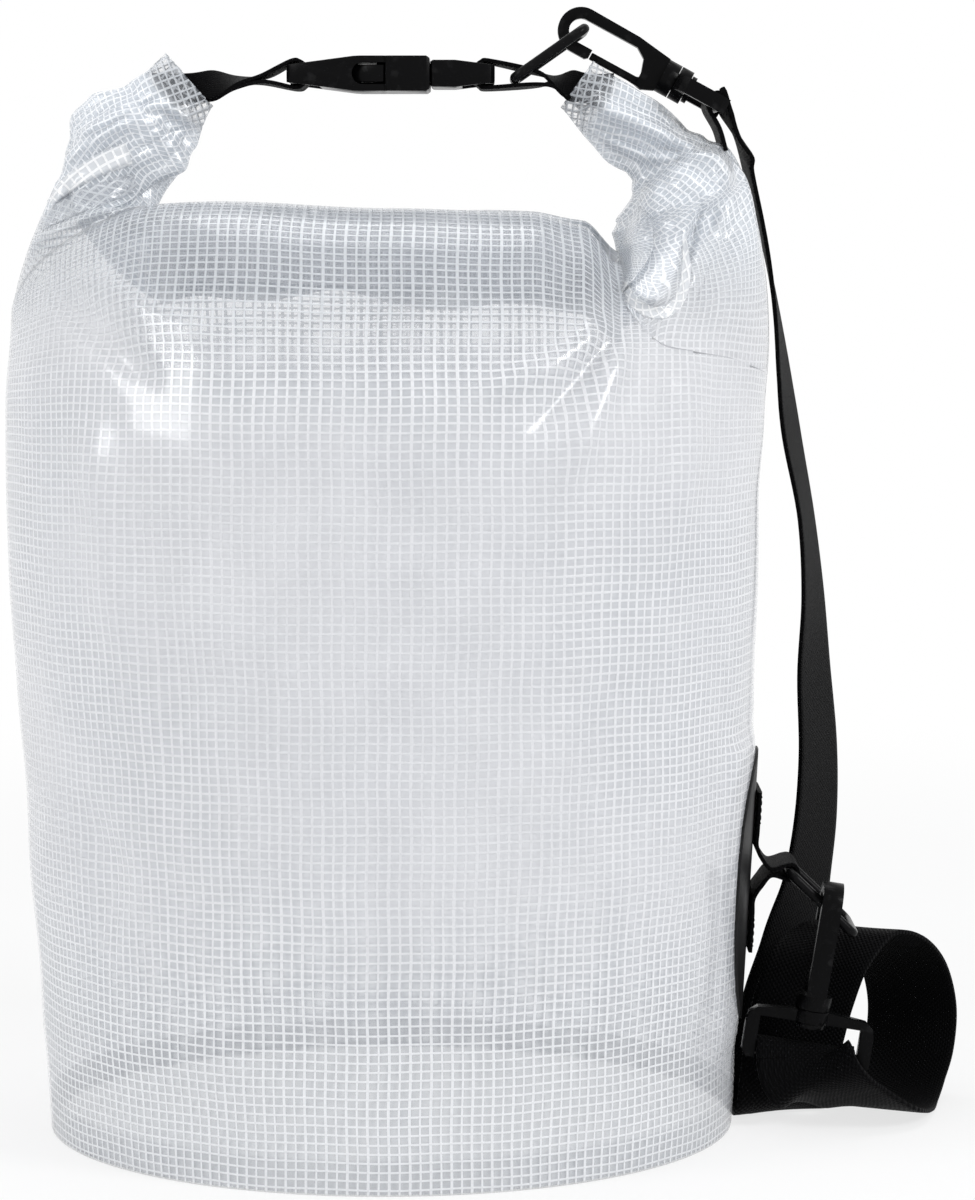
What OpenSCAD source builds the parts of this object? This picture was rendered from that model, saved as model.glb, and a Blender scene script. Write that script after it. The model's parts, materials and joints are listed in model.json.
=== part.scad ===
// Roll-top dry bag of clear mesh-reinforced sheet, with a buckled carry handle and a clip-on strap.
// Millimetres. +Z is up, +X is to the right in the front view and -Y points to the front.
// The origin is the centre of the underside of the round base.

/* [Bag] */
// Radius of the round base
base_r = 110; // [104:1:116]
// Thickness of the mesh-reinforced sheet
sheet_t = 0.6; // [0.5:0.1:1]
// Height of the welded flange that stands up inside the wall
base_flange_h = 10; // [6:1:20]
// Half width of the bag across the shoulders
shoulder_a = 121; // [118:0.5:124]
// Half depth of the bag at the shoulders
shoulder_b = 98; // [90:1:104]
// Height at which the shoulders begin to round over
shoulder_z = 194; // [180:2:206]
// Height of the full crown in front of the roll and behind it
crown_z = 292.5; // [288:0.5:294]
// Height at which the front and back sheets come together under the roll
neck_z = 264; // [260:1:268]
// Half gap between the two sheets at the neck
neck_gap = 2.8; // [2.4:0.1:3.2]
// Width of the welded seam up the back
seam_w = 18; // [12:1:28]

/* [Rolled mouth] */
// Height of the flat roll
roll_h = 30; // [26:1:34]
// Thickness of the flat roll
roll_t = 14; // [12:0.5:16]
// Half length of the straight part of the roll
roll_half = 71; // [66:1:73]
// Height of the gathered corners beside the roll
corner_h = 10.5; // [8:0.5:11]
// Width of the stiffening strip rolled into the mouth
stiffener_w = 18; // [12:1:20]
// Thickness of the stiffening strip
stiffener_t = 1.6; // [1:0.1:2.4]

/* [Horns] */
// Distance from the middle of the bag to the root of each horn
horn_x = 94; // [93:0.5:96]
// Height of the root of each horn above the neck
horn_rise = 30.4; // [30:0.2:32]
// Half width of a horn at its root
horn_root_w = 19; // [17:0.5:19.5]
// Half width of a horn at its tip
horn_tip_w = 11; // [9:0.5:12]
// Thickness of a horn at its root
horn_root_t = 13; // [11:0.5:14]
// Thickness of a horn at its tip
horn_tip_t = 8; // [6:0.5:9]
// Length of a horn from root to tip
horn_l = 51; // [49:0.5:53]
// Lean of a horn above the horizontal
horn_lean = 53; // [51:0.5:55]

/* [Handle webbing] */
// Width of the handle webbing
web_w = 25; // [22:0.5:26]
// Thickness of the handle webbing
web_t = 1.3; // [1:0.1:1.5]

/* [Buckle] */
// Place of the joint between the two halves, right of the middle
buckle_x = 12.8; // [11.8:0.2:13.8]
// Height of the buckle above the neck
buckle_rise = 72; // [71:0.5:73]
// Width of the buckle
buckle_w = 34; // [33:0.5:37]
// Thickness of the buckle at the socket
buckle_t = 11; // [10.4:0.2:13]
// Length of the socket half
socket_l = 45; // [44:0.5:47]
// Length of the plug half outside the socket
plug_l = 20.5; // [19.5:0.5:21.5]
// Wall at the side of the socket
socket_wall = 2.2; // [1.8:0.1:2.6]
// Height of the hollow in the socket
socket_hollow = 7.2; // [6.8:0.1:7.8]
// Length of the plug's spring arms
arm_l = 24.4; // [23:0.2:25]
// Thickness of a spring arm in the buckle's plane
arm_t = 2.2; // [1.8:0.1:2.5]
// Depth of a spring arm across the buckle's plane
arm_h = 5.4; // [4:0.2:6]
// Width of the bar that carries the webbing
web_bar = 5; // [4:0.2:5.4]

/* [Rings] */
// Thickness of the wire of both rings
ring_d = 3.2; // [2.8:0.1:3.4]
// Clear width of both rings
ring_w = 27; // [26.6:0.2:29]
// Length of the handle ring between the middles of its bars
top_ring_l = 26.5; // [26:0.1:27]
// Slope of the handle ring
top_ring_slope = 35; // [34:0.5:36]
// Length of the side ring between the middles of its bars
side_ring_l = 28; // [26:0.5:32]
// Slope of the side ring, downwards
side_ring_slope = 44; // [42:0.5:46]

/* [Snap hooks] */
// Distance from a hook's collar to the middle of its nose
hook_l = 29.5; // [29:0.1:30.5]
// Inner radius of a hook's nose
nose_in = 3.8; // [3.7:0.1:4.2]
// Width of a hook's arm
hook_arm = 3.6; // [3:0.1:4.4]
// Thickness of a hook
hook_t = 6.4; // [5.8:0.2:6.8]
// Thickness of the spring gate
gate_t = 2.4; // [2:0.1:2.6]
// Radius of the swivel pin
pin_r = 3; // [2.5:0.1:3.4]
// Radius of a hook's collar
collar_r = 5.6; // [5:0.1:6.2]
// Length of a hook's collar
collar_l = 4.5; // [4:0.1:5]
// Length of the swivel bearing
bearing_l = 4; // [3:0.2:4.4]
// Thickness of the swivel frame
frame_t = 5; // [4.4:0.2:6]
// Distance from a hook's collar to the bar that carries the strap
bar_drop = 19.5; // [19:0.5:22]
// Radius of the bar that carries the strap
bar_r = 2.4; // [2:0.1:2.6]
// Lean of the upper hook above the horizontal
upper_lean = 28.5; // [27:0.5:30]
// Lean of the lower hook away from the side of the bag
lower_lean = 5.69; // [3.69:0.5:7.69]
// Distance of the upper hook behind the middle of the handle ring
upper_back = 8; // [7.4:0.2:8.6]

/* [Side patch] */
// Height of the middle of the welded patch
patch_z = 77; // [74:1:80]
// Height of the welded patch
patch_h = 88; // [80:1:96]
// Half width of the welded patch, round the bag
patch_half_w = 31; // [26:1:36]
// Thickness of the welded patch
patch_t = 0.9; // [0.6:0.1:1.4]
// Height of the middle of the tab's loop above the middle of the patch
tab_rise = 5; // [3:0.5:7]
// Length of each sewn leg of the webbing tab
tab_leg = 24; // [18:1:28]
// Reach of the tab's loop from the patch to the middle of the ring's bar
tab_reach = 12; // [11:0.5:13]

/* [Shoulder strap] */
// Width of the strap
strap_w = 32; // [28:0.5:33]
// Thickness of the strap
strap_t = 1.5; // [1.2:0.1:1.8]

/* [Hidden] */

// Clearances: running fit of a pin, parts that pass each other, and welded films
run_gap = 0.05;
part_gap = 0.3;
film_gap = 0.1;

// Fineness of the soft shapes
wall_sides = 56;
horn_sides = 20;
spline_steps = 3;

// Heights of the handle and of the horn roots
handle_z = neck_z + buckle_rise;
horn_z = neck_z + horn_rise;

// Both web bars of the buckle
socket_bar_x = buckle_x - socket_l + web_bar / 2;
plug_bar_x = buckle_x + plug_l - web_bar / 2;
bar_half_h = 2.3;
web_in = sqrt(pow(web_bar / 2, 2) + pow(bar_half_h, 2)) + 0.2;
slot_l = web_t + 4;

// Handle ring: near bar in the right webbing loop, far bar in the upper hook
ring_near = [plug_bar_x + 8.9, 0, handle_z - 1.2];
ring_far = ring_near + top_ring_l * [cos(top_ring_slope), 0, sin(top_ring_slope)];
ring_side_y = (ring_w + ring_d) / 2;

// Upper hook: its axis runs from the collar up to the left, and the ring's far bar sits in its nose
upper_axis = [-cos(upper_lean), 0, sin(upper_lean)];
grip_s = hook_l - 0.7;
upper_collar = ring_far - grip_s * upper_axis + [0, upper_back, 0];
upper_bar = upper_collar - bar_drop * upper_axis;

// Side tab loop and ring
tab_z = patch_z + tab_rise;
tab_face_x = half_w(tab_z) + film_gap + patch_t;
tab_bar = [tab_face_x + tab_reach, 0, tab_z];
side_dir = [cos(side_ring_slope), 0, -sin(side_ring_slope)];
tab_in = ring_d / 2 + 0.3;

// Lower hook: it holds the front bar of the side ring, and its lean follows the side of the bag below the tab
hook_reach = hook_l + bar_drop;
lower_tilt = lower_lean + atan2(half_w(tab_z) - half_w(tab_z - hook_reach), hook_reach);
lower_axis = [sin(lower_tilt), 0, cos(lower_tilt)];
lower_grip = tab_bar + 17 * side_dir + [0, -ring_side_y, 0];
lower_collar = lower_grip - (hook_l - 1.9) * lower_axis;
lower_bar = lower_collar - bar_drop * lower_axis;
lower_across = [cos(lower_tilt), 0, -sin(lower_tilt)];

// The bag below its shoulders: half width, half depth and a point on its outside
function half_w(z) = base_r + (shoulder_a - base_r) * pow(max(z, 0) / shoulder_z, 0.9);
function half_d(z) = base_r + (shoulder_b - base_r) * pow(max(z, 0) / shoulder_z, 1.2);
function skin(turn, z, out) = [(half_w(z) + out) * cos(turn), (half_d(z) + out) * sin(turn), z];

// Points of a smooth curve through the given points
function curve_at(p, i, t) = let (
    a = p[max(i - 1, 0)], b = p[i], c = p[i + 1], d = p[min(i + 2, len(p) - 1)])
    0.5 * (2 * b + (c - a) * t + (2 * a - 5 * b + 4 * c - d) * t * t + (3 * b - a - 3 * c + d) * t * t * t);
function curve(p, steps) = concat(
    [for (i = [0 : len(p) - 2]) for (k = [0 : steps - 1]) curve_at(p, i, k / steps)], [p[len(p) - 1]]);
function unit(v) = v / norm(v);

// A solid skinned over closed rings of equal length, with flat ends, or closed on itself
module skinned(rings, looped = false) {
    n = len(rings[0]);
    m = len(rings);
    pts = [for (r = rings) for (p = r) p];
    spans = looped ? m : m - 1;
    sides = [for (i = [0 : spans - 1]) for (j = [0 : n - 1]) let (
        a = i * n + j, b = i * n + (j + 1) % n, c = ((i + 1) % m) * n + (j + 1) % n, d = ((i + 1) % m) * n + j)
        each [[a, c, b], [a, d, c]]];
    first = [for (j = [1 : n - 2]) [0, j, j + 1]];
    last = [for (j = [1 : n - 2]) [(m - 1) * n, (m - 1) * n + j + 1, (m - 1) * n + j]];
    polyhedron(points = pts, faces = looped ? sides : concat(sides, first, last), convexity = 8);
}

// A flat band along a route. Each stop is [place, direction across the band].
module band(stops, width, thick) {
    place = curve([for (s = stops) s[0]], spline_steps);
    across = curve([for (s = stops) s[1]], spline_steps);
    m = len(place);
    skinned([for (i = [0 : m - 1]) let (
        along = unit(place[min(i + 1, m - 1)] - place[max(i - 1, 0)]),
        side = unit(across[i] - (across[i] * along) * along),
        up = cross(along, side),
        w = side * width / 2,
        t = up * thick / 2)
        [for (q = [place[i] - w - t, place[i] + w - t, place[i] + w + t, place[i] - w + t])
            [q[0], q[1], max(q[2], floor_gap(q, place[i], thick, t))]]]);
}
// Keeps a band that lies on the ground above it without closing its thickness
function floor_gap(q, mid, thick, t) = (q - mid) * t > 0 ? (t[2] > 0 ? thick : 0) : (t[2] > 0 ? 0 : thick);

// A rounded bar section in the YZ plane at x, from z0 to z1 and half thickness h
function bar_ring(x, z0, z1, h, r) = [for (q = [[h - r, z0 + r, -90], [h - r, z1 - r, 0],
    [r - h, z1 - r, 90], [r - h, z0 + r, 180]]) for (k = [0 : 3])
    [x, q[0] + r * cos(q[2] + 30 * k), q[1] + r * sin(q[2] + 30 * k)]];

// A film that follows the bag's outside, with a half width that depends on height
module film(turn, levels, half, out, thick) {
    cuts = 8;
    skinned([for (i = [0 : len(levels) - 1]) let (z = levels[i], h = half[i]) concat(
        [for (k = [0 : cuts]) skin(turn + h * (2 * k / cuts - 1), z, out)],
        [for (k = [cuts : -1 : 0]) skin(turn + h * (2 * k / cuts - 1), z, out + thick)])]);
}

// Rings of the tube of sheet as [half width, half depth, height in front, height at the sides]:
// the body, the crown that rounds over, and the fall from the crown to the flat neck under the roll
side_top = neck_z + 7;
body_rings = [for (z = concat([sheet_t, sheet_t + base_flange_h],
    [for (i = [1 : 6]) sheet_t + (shoulder_z - sheet_t) * i / 6])) [half_w(z), half_d(z), z, z]];
crown_rings = [for (c = [[0, 0.985, 0.264, 0.325], [0, 0.944, 0.447, 0.519], [0, 0.888, 0.589, 0.662],
    [0, 0.811, 0.721, 0.779], [0.2, 0.714, 0.832, 0.864], [0.7, 0.612, 0.924, 0.929], [1.4, 0.52, 0.975, 0.968],
    [2.2, 0.429, 1, 0.994]]) [shoulder_a - c[0], shoulder_b * c[1],
    shoulder_z + (crown_z - shoulder_z) * c[2], shoulder_z + (side_top - shoulder_z) * c[3]]];
fall_rings = [for (f = [[3, 24, crown_z - 0.5, 7], [3.8, 13, crown_z - 4.5, 6.3], [4.6, 6.5, crown_z - 13.5, 4.6],
    [5, 3, neck_z + 5, 2.4], [6, 0.4, neck_z + 0.6, 0.5], [7, neck_gap + sheet_t - roll_t / 2, neck_z - 0.3, -0.3]])
    [shoulder_a - f[0], roll_t / 2 + f[1], f[2], neck_z + f[3]]];
wall_rings = concat(body_rings, crown_rings, fall_rings);
last_ring = len(wall_rings) - 1;
crown_ring = len(body_rings) + len(crown_rings) - 1;
function ring_slope(k) = let (d = wall_rings[min(k + 1, last_ring)] - wall_rings[max(k - 1, 0)])
    k == 0 ? [1, 0] : unit([d[2], -d[1]]);
function ring_point(k, turn, out) = let (
    r = wall_rings[k], n = ring_slope(k), s = pow(abs(cos(turn)), 6))
    [(r[0] + out * n[0]) * cos(turn), (r[1] + out * n[0]) * sin(turn), r[2] * (1 - s) + r[3] * s + out * n[1]];
module bag_wall() {
    turns = [for (i = [0 : wall_sides - 1]) 360 * i / wall_sides];
    outside = [for (k = [0 : last_ring]) [for (a = turns) ring_point(k, a, 0)]];
    inside = [for (k = [last_ring : -1 : 0]) [for (a = turns) ring_point(k, a, -sheet_t)]];
    color([0.85, 0.88, 0.9, 0.5]) skinned(concat(outside, inside), true);
}

// The round bottom, with the flange that is welded inside the wall
module base_panel() {
    levels = [sheet_t / 2, sheet_t + base_flange_h];
    outside = [for (z = levels) [for (i = [0 : wall_sides - 1])
        skin(360 * i / wall_sides, z, -sheet_t - film_gap)]];
    inside = [for (k = [1, 0]) [for (i = [0 : wall_sides - 1])
        skin(360 * i / wall_sides, levels[k], -2 * sheet_t - film_gap)]];
    color([0.82, 0.85, 0.88, 0.6]) {
        cylinder(r = base_r, h = sheet_t, $fn = 112);
        skinned(concat(outside, inside), true);
    }
}

// The lapped and welded seam up the middle of the back
module back_seam() {
    half = seam_w / 2 / shoulder_a * 180 / PI;
    turns = [for (j = [-2 : 2]) 90 + half * j / 2];
    color([0.8, 0.84, 0.88, 0.6]) skinned([for (k = [0 : crown_ring]) concat(
        [for (a = turns) ring_point(k, a, film_gap)],
        [for (j = [4 : -1 : 0]) ring_point(k, turns[j], film_gap + sheet_t)])]);
}

// The mouth, rolled down flat, with low gathered corners under the horns
module rolled_mouth() {
    end_x = shoulder_a - 13;
    top = neck_z + roll_h;
    low_top = neck_z + corner_h;
    half = roll_t / 2;
    stations = [[-end_x, low_top - 3, 2.2], [-end_x + 5, low_top, 2.6], [-roll_half - 2, low_top, 2.6],
        [-roll_half, top - 5, half - 1], [4 - roll_half, top - 1, half], [9 - roll_half, top, half],
        [roll_half - 9, top, half], [roll_half - 4, top - 1, half], [roll_half, top - 5, half - 1],
        [roll_half + 2, low_top, 2.6], [end_x - 5, low_top, 2.6], [end_x, low_top - 3, 2.2]];
    core_z = neck_z + roll_h / 2;
    color([0.84, 0.87, 0.9, 0.7]) difference() {
        skinned([for (s = stations) bar_ring(s[0], neck_z, s[1], s[2], min(2.8, s[2] - 0.1))]);
        cube_at([0, 0, core_z], [2 * roll_half - 16, stiffener_t + film_gap, stiffener_w + film_gap]);
    }
}

// The strip that stiffens the edge of the mouth, in the core of the roll
module mouth_stiffener() {
    color([0.75, 0.78, 0.8])
        cube_at([0, 0, neck_z + roll_h / 2], [2 * roll_half - 17, stiffener_t, stiffener_w]);
}

module cube_at(middle, size) {
    translate(middle) cube(size, center = true);
}

// One end of the roll, bent up and inwards: side is -1 on the left and 1 on the right
module horn(side) {
    lean = [-side * cos(horn_lean), 0, sin(horn_lean)];
    across = [side * sin(horn_lean), 0, cos(horn_lean)];
    root = [side * horn_x, 0, horn_z];
    round_end = [for (k = [-80 : 20 : -20]) [horn_root_w * sin(k), horn_root_w * cos(k), horn_root_t / 2]];
    rise = [for (k = [0 : 5]) let (t = k / 5) [horn_l * t,
        horn_root_w + (horn_tip_w - horn_root_w) * (3 * t * t - 2 * t * t * t),
        (horn_root_t + (horn_tip_t - horn_root_t) * t) / 2]];
    rings = [for (r = concat(round_end, rise)) [for (i = [0 : horn_sides - 1])
        let (a = side * 360 * i / horn_sides)
        root + lean * r[0] + across * r[1] * cos(a) + [0, r[2] * sin(a), 0]]];
    color([0.84, 0.87, 0.9, 0.7]) skinned(rings);
}
module left_horn() {
    horn(-1);
}
module right_horn() {
    horn(1);
}

// Webbing that comes out of a horn's tip, passes round a bar and returns
module web_loop(bar_x, throat, start, throat_in) {
    run = unit(start - throat);
    off = web_t * [-run[1], run[0]];
    color([0.06, 0.06, 0.07]) rotate([90, 0, 0]) linear_extrude(web_w, center = true) difference() {
        union() {
            hull() {
                translate([bar_x, handle_z]) circle(r = web_in + web_t, $fn = 40);
                translate(throat) circle(r = throat_in + web_t, $fn = 24);
            }
            polygon([throat + off, throat - off, start - off, start + off]);
        }
        hull() {
            translate([bar_x, handle_z]) circle(r = web_in, $fn = 40);
            translate(throat) circle(r = throat_in, $fn = 24);
        }
    }
}
function horn_tip(side) = [side * (horn_x - horn_l * cos(horn_lean)), horn_z + horn_l * sin(horn_lean)];
module left_web_loop() {
    tip = horn_tip(-1);
    web_loop(socket_bar_x, [socket_bar_x - 10, handle_z - 1.4], tip + [-3, -4.6], 0.4);
}
module right_web_loop() {
    tip = horn_tip(1);
    web_loop(plug_bar_x, [ring_near[0] + 6.5, handle_z - 1.2], tip + [3, -4.6], 1.4);
}

// Side view of a buckle half as [x, half height], mirrored about its middle
module buckle_block(side_view, plan) {
    intersection() {
        rotate([90, 0, 0]) linear_extrude(buckle_w + 2, center = true)
            polygon(concat(side_view, [for (i = [len(side_view) - 1 : -1 : 0]) [side_view[i][0], -side_view[i][1]]]));
        linear_extrude(buckle_t + 2, center = true)
            polygon(concat(plan, [for (i = [len(plan) - 1 : -1 : 0]) [plan[i][0], -plan[i][1]]]));
    }
}

// Socket half of the side-release buckle, with the rib that guides the spring arms
module buckle_socket() {
    w = buckle_w / 2;
    h = buckle_t / 2;
    open_w = w - socket_wall;
    window_l = arm_l - 14.1 + part_gap;
    window_r = socket_hollow / 2 - 0.2;
    color([0.04, 0.04, 0.045]) translate([buckle_x, 0, handle_z]) difference() {
        buckle_block(
            [[-socket_l, 2.7], [-socket_l + 5, 3.3], [-29, h - 0.8], [-24, h - 0.1], [-22, h], [-1, h], [0, h - 0.7]],
            [[-socket_l, w - 4], [-socket_l + 1.2, w - 2.2], [-socket_l + 4, w - 1.2], [-30, w - 0.6], [-20, w],
                [-1, w], [0, w - 0.6]]);
        cube_at([-13, 0, 0], [29, 2 * open_w, socket_hollow]);
        for (s = [-1, 1]) {
            translate([-13.8 - window_l / 2 + window_r / 2, s * w, 0])
                cube([window_l - window_r, 2 * socket_wall + 1, 2 * window_r], center = true);
            translate([-13.8 - window_l + window_r, s * w, 0]) rotate([90, 0, 0])
                cylinder(r = window_r, h = 2 * socket_wall + 1, center = true, $fn = 40);
            cube_at([-13.9, s * w, 0], [0.8, 1.2, buckle_t + 2]);
            for (v = [-1, 1])
                cube_at([-socket_l, 0, v * (bar_half_h + 4)], [2 * web_bar, web_w + 1, 8]);
        }
        cube_at([-socket_l + web_bar + slot_l / 2, 0, 0], [slot_l, web_w + 1, buckle_t + 2]);
    }
    color([0.04, 0.04, 0.045]) cube_at([buckle_x - 10, 0, handle_z], [14, 3, socket_hollow + 1]);
}

// Plug half: the frame that carries the webbing and the roots of the spring arms
module buckle_plug() {
    w = buckle_w / 2;
    h = 4.2;
    color([0.04, 0.04, 0.045]) translate([buckle_x, 0, handle_z]) difference() {
        buckle_block(
            [[part_gap, h - 0.5], [1, h], [8, h], [plug_l - web_bar - 1, 3.4], [plug_l, 2.7]],
            [[part_gap, w - 1.4], [1, w - 0.8], [7, w - 0.5], [plug_l - 4, w - 1.2], [plug_l - 1.2, w - 2.2],
                [plug_l, w - 4]]);
        for (s = [-1, 1]) {
            translate([arm_root_x, s * arm_y, 0])
                cylinder(r = arm_t / 2 + 0.4 + run_gap, h = arm_h + 2 * part_gap, center = true, $fn = 40);
            for (v = [-1, 1])
                cube_at([plug_l, 0, v * (bar_half_h + 4)], [2 * web_bar, web_w + 1, 8]);
        }
        cube_at([plug_l - web_bar - slot_l / 2, 0, 0], [slot_l, web_w + 1, buckle_t + 2]);
    }
}
arm_root_x = 0.9;
arm_y = buckle_w / 2 - socket_wall - 2.2 - arm_t / 2 + 0.4;

// One spring arm of the plug: side is -1 in front and 1 behind
module spring_arm(side) {
    inner = arm_y - arm_t / 2;
    outer = arm_y + arm_t / 2;
    reach = buckle_w / 2 - 0.6;
    color([0.05, 0.05, 0.055]) translate([buckle_x, 0, handle_z]) scale([1, side, 1]) {
        translate([0, 0, -arm_h / 2]) linear_extrude(arm_h)
            polygon([[arm_root_x, inner], [arm_root_x, outer], [-13, outer], [-14.1, outer + 0.6], [-14.1, reach - 0.4],
                [-14.6, reach], [-arm_l + 5, reach - 0.3], [-arm_l + 3.2, reach - 1.2], [-arm_l, outer + 0.6],
                [-arm_l, inner + 0.6], [-arm_l + 1, inner]]);
        translate([arm_root_x, arm_y, 0]) cylinder(r = arm_t / 2 + 0.4, h = arm_h, center = true, $fn = 40);
    }
}
module front_spring_arm() {
    spring_arm(-1);
}
module back_spring_arm() {
    spring_arm(1);
}

// A wire ring with round corners: its near bar is at the origin, lies along Y, and the ring runs along X
module wire_ring(length) {
    r = ring_d / 2;
    bend = 3;
    y = ring_side_y;
    for (x = [0, length])
        translate([x, 0, 0]) rotate([90, 0, 0]) cylinder(r = r, h = 2 * (y - bend), center = true, $fn = 32);
    for (s = [-1, 1])
        translate([bend, s * y, 0]) rotate([0, 90, 0]) cylinder(r = r, h = length - 2 * bend, $fn = 32);
    for (c = [[bend, bend - y, 180], [length - bend, bend - y, 270], [length - bend, y - bend, 0], [bend, y - bend, 90]])
        translate([c[0], c[1], 0]) rotate([0, 0, c[2]]) rotate_extrude(angle = 90, $fn = 64)
            translate([bend, 0]) circle(r = r, $fn = 32);
}
module handle_ring() {
    color([0.05, 0.05, 0.055]) translate(ring_near) rotate([0, -top_ring_slope, 0]) wire_ring(top_ring_l);
}
module side_ring() {
    color([0.05, 0.05, 0.055]) translate(tab_bar) rotate([0, side_ring_slope, 0]) wire_ring(side_ring_l);
}

// Own axes of a hook: X runs from the collar to the nose, -Y is the gate's side, Z is across
module at_upper() {
    translate(upper_collar) rotate([90, 0, 0]) rotate([0, 0, 180 - upper_lean]) scale([1, -1, 1]) children();
}
module at_lower() {
    translate(lower_collar) rotate([0, lower_tilt, 0]) rotate([0, -90, 0]) scale([1, -1, 1]) children();
}
nose_out = nose_in + hook_arm;
gate_tip = 23;
gate_root = [4, -5.2];
gate_pin_r = 1;
gate_h = 3.2;
button_x = -collar_l - 2 * part_gap - bearing_l;

// Snap hook in its own axes: collar, arm, round nose, and the pin with its button in the swivel
module hook_shape() {
    color([0.05, 0.05, 0.055]) {
        difference() {
            linear_extrude(hook_t, center = true) {
                polygon([[0, -collar_r], [4, -7.4], [6.2, -7], [6.2, -2.6], [7.6, nose_in - 2.2], [11, nose_in],
                    [hook_l, nose_in], [hook_l, nose_out], [12, nose_out - 0.3], [5, collar_r + 0.7], [0, collar_r]]);
                polygon([[gate_tip + part_gap, -nose_out + 0.8], [gate_tip + 1.2, -nose_out], [hook_l, -nose_out],
                    [hook_l, -nose_in], [gate_tip + part_gap, -nose_in]]);
                intersection() {
                    translate([hook_l, 0]) difference() {
                        circle(r = nose_out, $fn = 72);
                        circle(r = nose_in, $fn = 48);
                    }
                    translate([hook_l, -20]) square([20, 40]);
                }
            }
            translate([-1, -10, -gate_h / 2 - part_gap]) cube([11, 7.8, gate_h + 2 * part_gap]);
        }
        translate([gate_root[0], gate_root[1], 0]) cylinder(r = gate_pin_r, h = hook_t, center = true, $fn = 32);
        rotate([0, -90, 0]) cylinder(r = collar_r, h = collar_l, $fn = 56);
        rotate([0, -90, 0]) cylinder(r = pin_r, h = -button_x + 0.4, $fn = 48);
        translate([button_x, 0, 0]) rotate([0, -90, 0]) cylinder(r = pin_r + 1.5, h = 1.5, $fn = 48);
    }
}

// Spring gate in the hook's own axes
module gate_shape() {
    color([0.06, 0.06, 0.065]) linear_extrude(gate_h, center = true) difference() {
        union() {
            translate(gate_root) circle(r = 2, $fn = 40);
            polygon([[gate_root[0], gate_root[1] - 2], [gate_root[0] + 5, -4.4 - gate_t], [gate_tip, -4.4 - gate_t],
                [gate_tip, -4.4], [gate_root[0] + 3, -4.4], [gate_root[0], gate_root[1] + 2]]);
        }
        translate(gate_root) circle(r = gate_pin_r + run_gap, $fn = 32);
    }
}

// Swivel base in the hook's own axes: bearing, frame and the bar for the strap
module swivel_shape() {
    near = -collar_l - part_gap;
    far = near - bearing_l;
    clear_w = strap_w / 2 + 0.4;
    out_w = clear_w + 4.2;
    foot = -bar_drop - bar_r - 0.6;
    color([0.05, 0.05, 0.055]) {
        difference() {
            union() {
                translate([near, 0, 0]) rotate([0, -90, 0]) cylinder(r = collar_r, h = bearing_l, $fn = 56);
                rotate([90, 0, 0]) linear_extrude(frame_t, center = true)
                    polygon([[near, -4], [near, 4], [near - 1.4, out_w - 3], [near - 3.4, out_w - 0.6],
                        [near - 6, out_w], [foot + 2, out_w], [foot, out_w - 1.5], [foot, 1.5 - out_w],
                        [foot + 2, -out_w], [near - 6, -out_w], [near - 3.4, 0.6 - out_w], [near - 1.4, 3 - out_w]]);
            }
            translate([foot - 1, -frame_t, -clear_w]) cube([far - foot + 1, 2 * frame_t, 2 * clear_w]);
            translate([near + 1, 0, 0]) rotate([0, -90, 0])
                cylinder(r = pin_r + run_gap, h = bearing_l + 2, $fn = 48);
        }
        translate([-bar_drop, 0, 0]) cylinder(r = bar_r, h = 2 * clear_w + 2, center = true, $fn = 40);
    }
}
module upper_hook() {
    at_upper() hook_shape();
}
module upper_gate() {
    at_upper() gate_shape();
}
module upper_swivel() {
    at_upper() swivel_shape();
}
module lower_hook() {
    at_lower() hook_shape();
}
module lower_gate() {
    at_lower() gate_shape();
}
module lower_swivel() {
    at_lower() swivel_shape();
}

// Welded patch on the right side of the bag
module side_patch() {
    rows = 12;
    levels = [for (i = [0 : rows]) patch_z - patch_h / 2 * cos(180 * i / rows) * 0.998];
    half = [for (z = levels)
        patch_half_w / half_d(z) * 180 / PI * sqrt(1 - pow(abs(z - patch_z) / (patch_h / 2), 2.6)) + 1];
    color([0.05, 0.05, 0.055]) film(0, levels, half, film_gap, patch_t);
}

// Webbing tab sewn to the patch above and below, and pinched out round the ring's bar
function on_patch(rise) = [[half_w(tab_z + rise) + film_gap + patch_t + 0.15 + web_t / 2, 0, tab_z + rise], [0, 1, 0]];
function pinched(x, rise) = [[tab_bar[0] + x, 0, tab_z + rise], [0, 1, 0]];
function round_tab(a) = [tab_bar + (tab_in + web_t / 2) * [cos(a), 0, sin(a)], [0, 1, 0]];
module side_tab() {
    neck = web_t / 2 + 0.4;
    upper = [on_patch(tab_in + tab_leg), on_patch(tab_in + tab_leg / 2), on_patch(8.5), pinched(3 - tab_reach, 4.2),
        pinched(-6, neck), round_tab(118)];
    lower = [round_tab(-118), pinched(-6, -neck), pinched(3 - tab_reach, -4.2), on_patch(-8.5),
        on_patch(-tab_in - tab_leg / 2), on_patch(-tab_in - tab_leg)];
    color([0.06, 0.06, 0.07])
        band(concat(upper, [for (a = [70, 24, -24, -70]) round_tab(a)], lower), web_w, web_t);
}

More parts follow.
